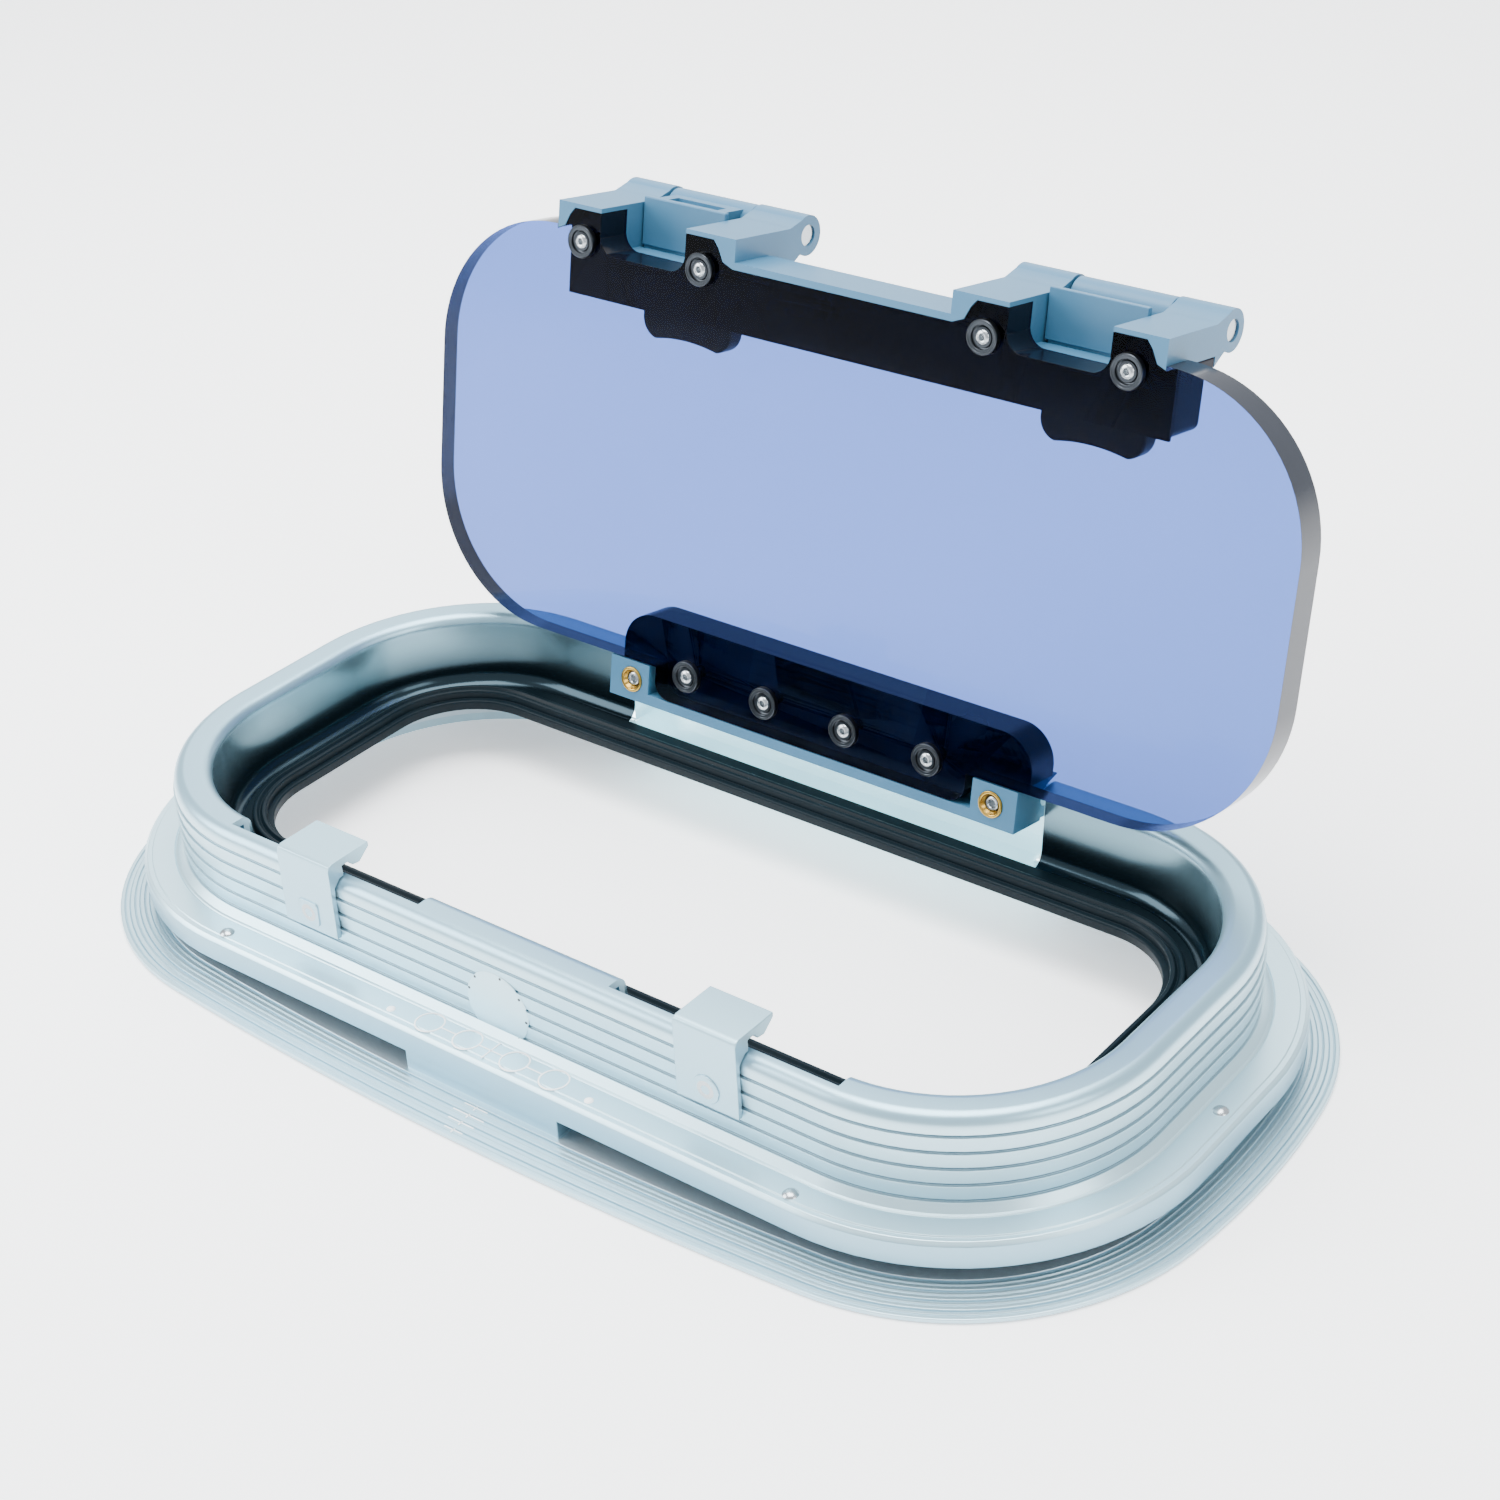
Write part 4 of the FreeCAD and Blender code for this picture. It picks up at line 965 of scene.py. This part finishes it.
def repeatPiece(name, profile, spots, tilt, finish, body, replaced, steps, spin=6.28):
    unit = newObject(name + "Unit", latheMesh(name + "Unit", profile, steps))
    dots = bpy.data.meshes.new(name + "Spots")
    dots.from_pydata([tuple(v * mm for v in spot) for spot in spots], [], [])
    host = newObject(name + "Host", dots)
    step = host.modifiers.new("repeat", "NODES")
    step.node_group = repeatTree
    step[repeatSockets["unit"]] = unit
    step[repeatSockets["tilt"]] = tilt
    step[repeatSockets["spin"]] = spin
    step[repeatSockets["finish"]] = materials[finish]
    shape = bpy.data.meshes.new_from_object(host.evaluated_get(bpy.context.evaluated_depsgraph_get()))
    bpy.data.objects.remove(host)
    bpy.data.objects.remove(unit)
    return finishMesh(name, shape, materials[finish], body, replaced)


lensPose = {
    "hinge": (60.86, 54.28),
    "along": (0.1886, 0.982),
    "tilt": (math.radians(79.13), 0.0, 0.0),
}


def onLens(x, s, d=0.0):
    (y, z), (across, upward) = lensPose["hinge"], lensPose["along"]
    return x, y + across * s + upward * d, z + upward * s - across * d


leafSpots = [onLens(x, 0.8) for x in (-48.3, -16.1, 16.1, 48.3)]
handleSpots = [onLens(x, 136.3) for x in (-102.0, -53.1, 53.1, 102.0)]
insertSpots = [onLens(x, -7.2) for x in (-72.25, 72.25)]
plugSpots = [(-110.5, -95.6, 18.2), (110.5, -95.6, 18.2), (-110.5, 95.6, 18.2), (110.5, 95.6, 18.2),
             (-187.6, 0, 18.2), (187.6, 0, 18.2)]

turned = {
    "washer": [
        (2.1, 0.0), (5.25, 0.0), (5.4, 0.15), (5.4, 1.7), (5.3, 2.0), (5.05, 2.2), (4.75, 2.2),
        (4.55, 2.05), (3.95, 2.0), (3.75, 1.85), (3.6, 1.2), (3.3, 1.05), (3.05, 1.45), (2.1, 1.5),
        (2.1, 0.0),
    ],
    "faceScrew": [
        (0, 0.5), (0.8, 0.5), (0.9, 0.6), (0.95, 1.75), (1.1, 2.0), (1.4, 2.1), (1.9, 1.95),
        (2.3, 1.6), (2.45, 1.3), (2.45, 1.2), (2.0, 1.15), (2.0, -20.0), (0, -20.0),
    ],
    "insert": [
        (2.45, -6.7), (4.4, -6.7), (4.4, 0.2), (4.3, 0.4), (4.1, 0.5), (3.7, 0.5), (3.45, 0.35),
        (3.1, -0.4), (2.6, -1.0), (2.45, -1.3), (2.45, -6.7),
    ],
    "grub": [
        (0, -2.3), (1.2, -2.3), (1.3, -0.9), (1.5, -0.65), (1.9, -0.6), (2.25, -0.8), (2.4, -1.1),
        (2.4, -14.1), (0, -14.1),
    ],
    "dot": [
        (0, 0.12), (0.35, 0.1), (0.45, 0.0), (0.45, -0.4), (0, -0.4),
    ],
    "plug": [
        (0, 1.0), (0.6, 0.96), (1.2, 0.84), (1.7, 0.62), (2.1, 0.34), (2.3, 0.12), (2.4, 0.0),
        (1.4, -0.1), (1.4, -3.4), (0, -3.4),
    ],
    "strikeScrew": [
        (0, -0.9), (1.2, -0.9), (1.3, -0.1), (1.5, 0.08), (2.3, 0.1), (3.3, 0.02), (3.5, -0.15),
        (2.0, -1.7), (2.0, -3.6), (0, -3.6),
    ],
    "rearScrew": [
        (0, 0.6), (1.25, 0.6), (1.3, 1.85), (1.5, 2.0), (2.2, 1.95), (2.9, 1.6), (3.2, 1.0),
        (3.2, 0.0), (2.0, 0.0), (2.0, -8.0), (0, -8.0),
    ],
}
upright, facing = (0, 0, 0), lensPose["tilt"]
towardsLatch, towardsHinge = (math.pi / 2, 0, 0), (-math.pi / 2, 0, 0)
strikeSpots = [(-77.4, -89.45, 34.8), (77.4, -89.45, 34.8)]
bracketSpots = [(x, 87.2, 43.25) for x in (-50.0, -16.667, 16.667, 50.0)]
discX, discZ, discR = frameDetail["disc"]
dotAngles = [math.radians(a) for a in (78, 35, -5, -48, -125, 165, 135)]
dotR, dotY = discR - 0.8, -87.25
dotSpots = [(discX + dotR * math.cos(a), dotY, discZ + dotR * math.sin(a)) for a in dotAngles]

lensBody = "lens_assembly"
smallParts = {
    # profile, spots, tilt, finish, body, nodes replaced, steps round
    "leafWashers": ("washer", leafSpots, facing, "gunSteel", lensBody, ["leaf_washers"], 40),
    "leafScrews": ("faceScrew", leafSpots, facing, "brightSteel", lensBody, ["leaf_screws"], 40),
    "handleWashers": ("washer", handleSpots, facing, "gunSteel", lensBody, ["handle_washers"], 40),
    "handleScrews": ("faceScrew", handleSpots, facing, "brightSteel", lensBody, ["handle_screws"], 40),
    "frictionInserts": ("insert", insertSpots, facing, "turnedBrass", lensBody, ["friction_inserts"], 40),
    "frictionScrews": ("grub", insertSpots, facing, "brightSteel", lensBody, ["friction_screws"], 40),
    "ringPlugs": ("plug", plugSpots, upright, "brightSteel", "frame", ["ring_plugs"], 40),
    "strikeScrews": ("strikeScrew", strikeSpots, towardsLatch, "brightSteel", "frame", ["strike_screws"], 40),
    "bracketScrews": ("rearScrew", bracketSpots, towardsHinge, "brightSteel", "frame", ["bracket_screws"], 32),
    "discDots": ("dot", dotSpots, towardsLatch, "darkWasher", "frame", [], 16),
}
for name, (profile, *rest) in smallParts.items():
    repeatPiece(name, turned[profile], *rest)
print("small parts set")


# moulded and machined pieces: the node's shape with rounded edges

rounded = {
    "strike_left": (0.55, "paleMetal", "frame"),
    "strike_right": (0.55, "paleMetal", "frame"),
    "hinge_bracket": (0.35, "paleMetal", "frame"),
    "hinge_leaf": (0.8, "leafNavy", "lens_assembly"),
    "hinge_carrier": (0.45, "blueSatin", "lens_assembly"),
    "handle_base": (0.7, "navyGloss", "lens_assembly"),
    "handle_housing": (0.45, "blueSatin", "lens_assembly"),
    "lever_left": (0.5, "blueSatin", "left_lever"),
    "lever_right": (0.5, "blueSatin", "right_lever"),
    "lever_grip_left": (0.9, "navyGloss", "left_lever"),
    "lever_grip_right": (0.9, "navyGloss", "right_lever"),
    "lens": (0.4, "lensAcrylic", "lens_assembly"),
}


def lensBlock(name, acrossSpan, alongSpan, outSpan):
    # a block square to the open lens
    (s0, s1), (d0, d1) = alongSpan, outSpan
    corners = [(s0, d0), (s1, d0), (s1, d1), (s0, d1)]
    return prismMesh(name, corners, acrossSpan, lambda u, v, w: onLens(w, u, v))


def roundOutline(halfU, halfV, corner, steps=6):
    points = []
    for su, sv, turn in ((1, 1, 0), (-1, 1, 90), (-1, -1, 180), (1, -1, 270)):
        for i in range(steps + 1):
            a = math.radians(turn + 90 * i / steps)
            u = su * (halfU - corner) + corner * math.cos(a)
            points.append((u, sv * (halfV - corner) + corner * math.sin(a)))
    return points


extras = {
    # spans across, along and out from the open lens
    "bridge": ((-92.0, -64.0), (146.3, 149.3), (22.0, 34.0)),
    "window": ((-88.0, -68.0), (148.2, 152.0), (25.0, 30.0)),
    "foot": ((62.0, 94.2), (132.6, 134.6), (21.1, 22.6)),
    "pads": {"strike_left": (-77.4, 4.1, 1.4), "strike_right": (77.4, 4.6, 4.6)},
    "padFace": (-89.0, -89.5),
    "padHeight": 34.8,
}


def addExtras(node, shape):
    if node in ("lever_left", "lever_right"):
        (x0, x1), along, out = extras["foot"]
        sides = (-x1, -x0) if node == "lever_left" else (x0, x1)
        shape = joinMeshes(node + "Foot", [shape, lensBlock("foot", sides, along, out)])
    if node == "lever_left":
        block = lensBlock("bridge", *extras["bridge"])
        return joinMeshes("leverTop", [shape, carve(block, [lensBlock("window", *extras["window"])])])
    if node in extras["pads"]:
        x, half, corner = extras["pads"][node]
        rim, face = extras["padFace"]
        pad = prismMesh("pad", roundOutline(half, half, corner, 10), (rim + 0.3, face),
                        lambda u, v, w: (x + u, w, extras["padHeight"] + v))
        bm = bmesh.new()
        bm.from_mesh(pad)
        front = [e for e in bm.edges if all(v.co.y < (face + 0.01) * mm for v in e.verts)]
        bmesh.ops.bevel(bm, geom=front, offset=0.3 * mm, segments=3, profile=0.5, affect="EDGES")
        bm.to_mesh(pad)
        bm.free()
        return joinMeshes("strikeWithPad", [shape, pad])
    return shape


roundedPieces = {}
for node, (width, finish, body) in rounded.items():
    words = node.split("_")
    label = words[0] + "".join(word.capitalize() for word in words[1:]) + "Shape"
    shape = addExtras(node, softCopy(node, width))
    roundedPieces[node] = finishMesh(label, shape, materials[finish], body, [node], 45)
lensData = roundedPieces["lens"].data
lensData.materials.append(materials["lensEdge"])
outward = Vector(lensLook["outward"])
for polygon in lensData.polygons:
    polygon.material_index = 0 if abs(polygon.normal.dot(outward)) > lensLook["flatFace"] else 1
print("rounded pieces", len(rounded))

nodeFinish = {
    # painted shade: the channel gasket is a black strip set in the shaded channel under the ring, to darken it
    "channel_gasket": "blackRubber",
    "hinge_pin": "brightSteel",
    "carrier_screws": "brightSteel",
    "handle_gasket": "navyGloss",
    "lever_pins": "brightSteel",
}
for name, finish in nodeFinish.items():
    putMaterial(nodes[name], materials[finish])
print("nodes dressed", len(nodeFinish))
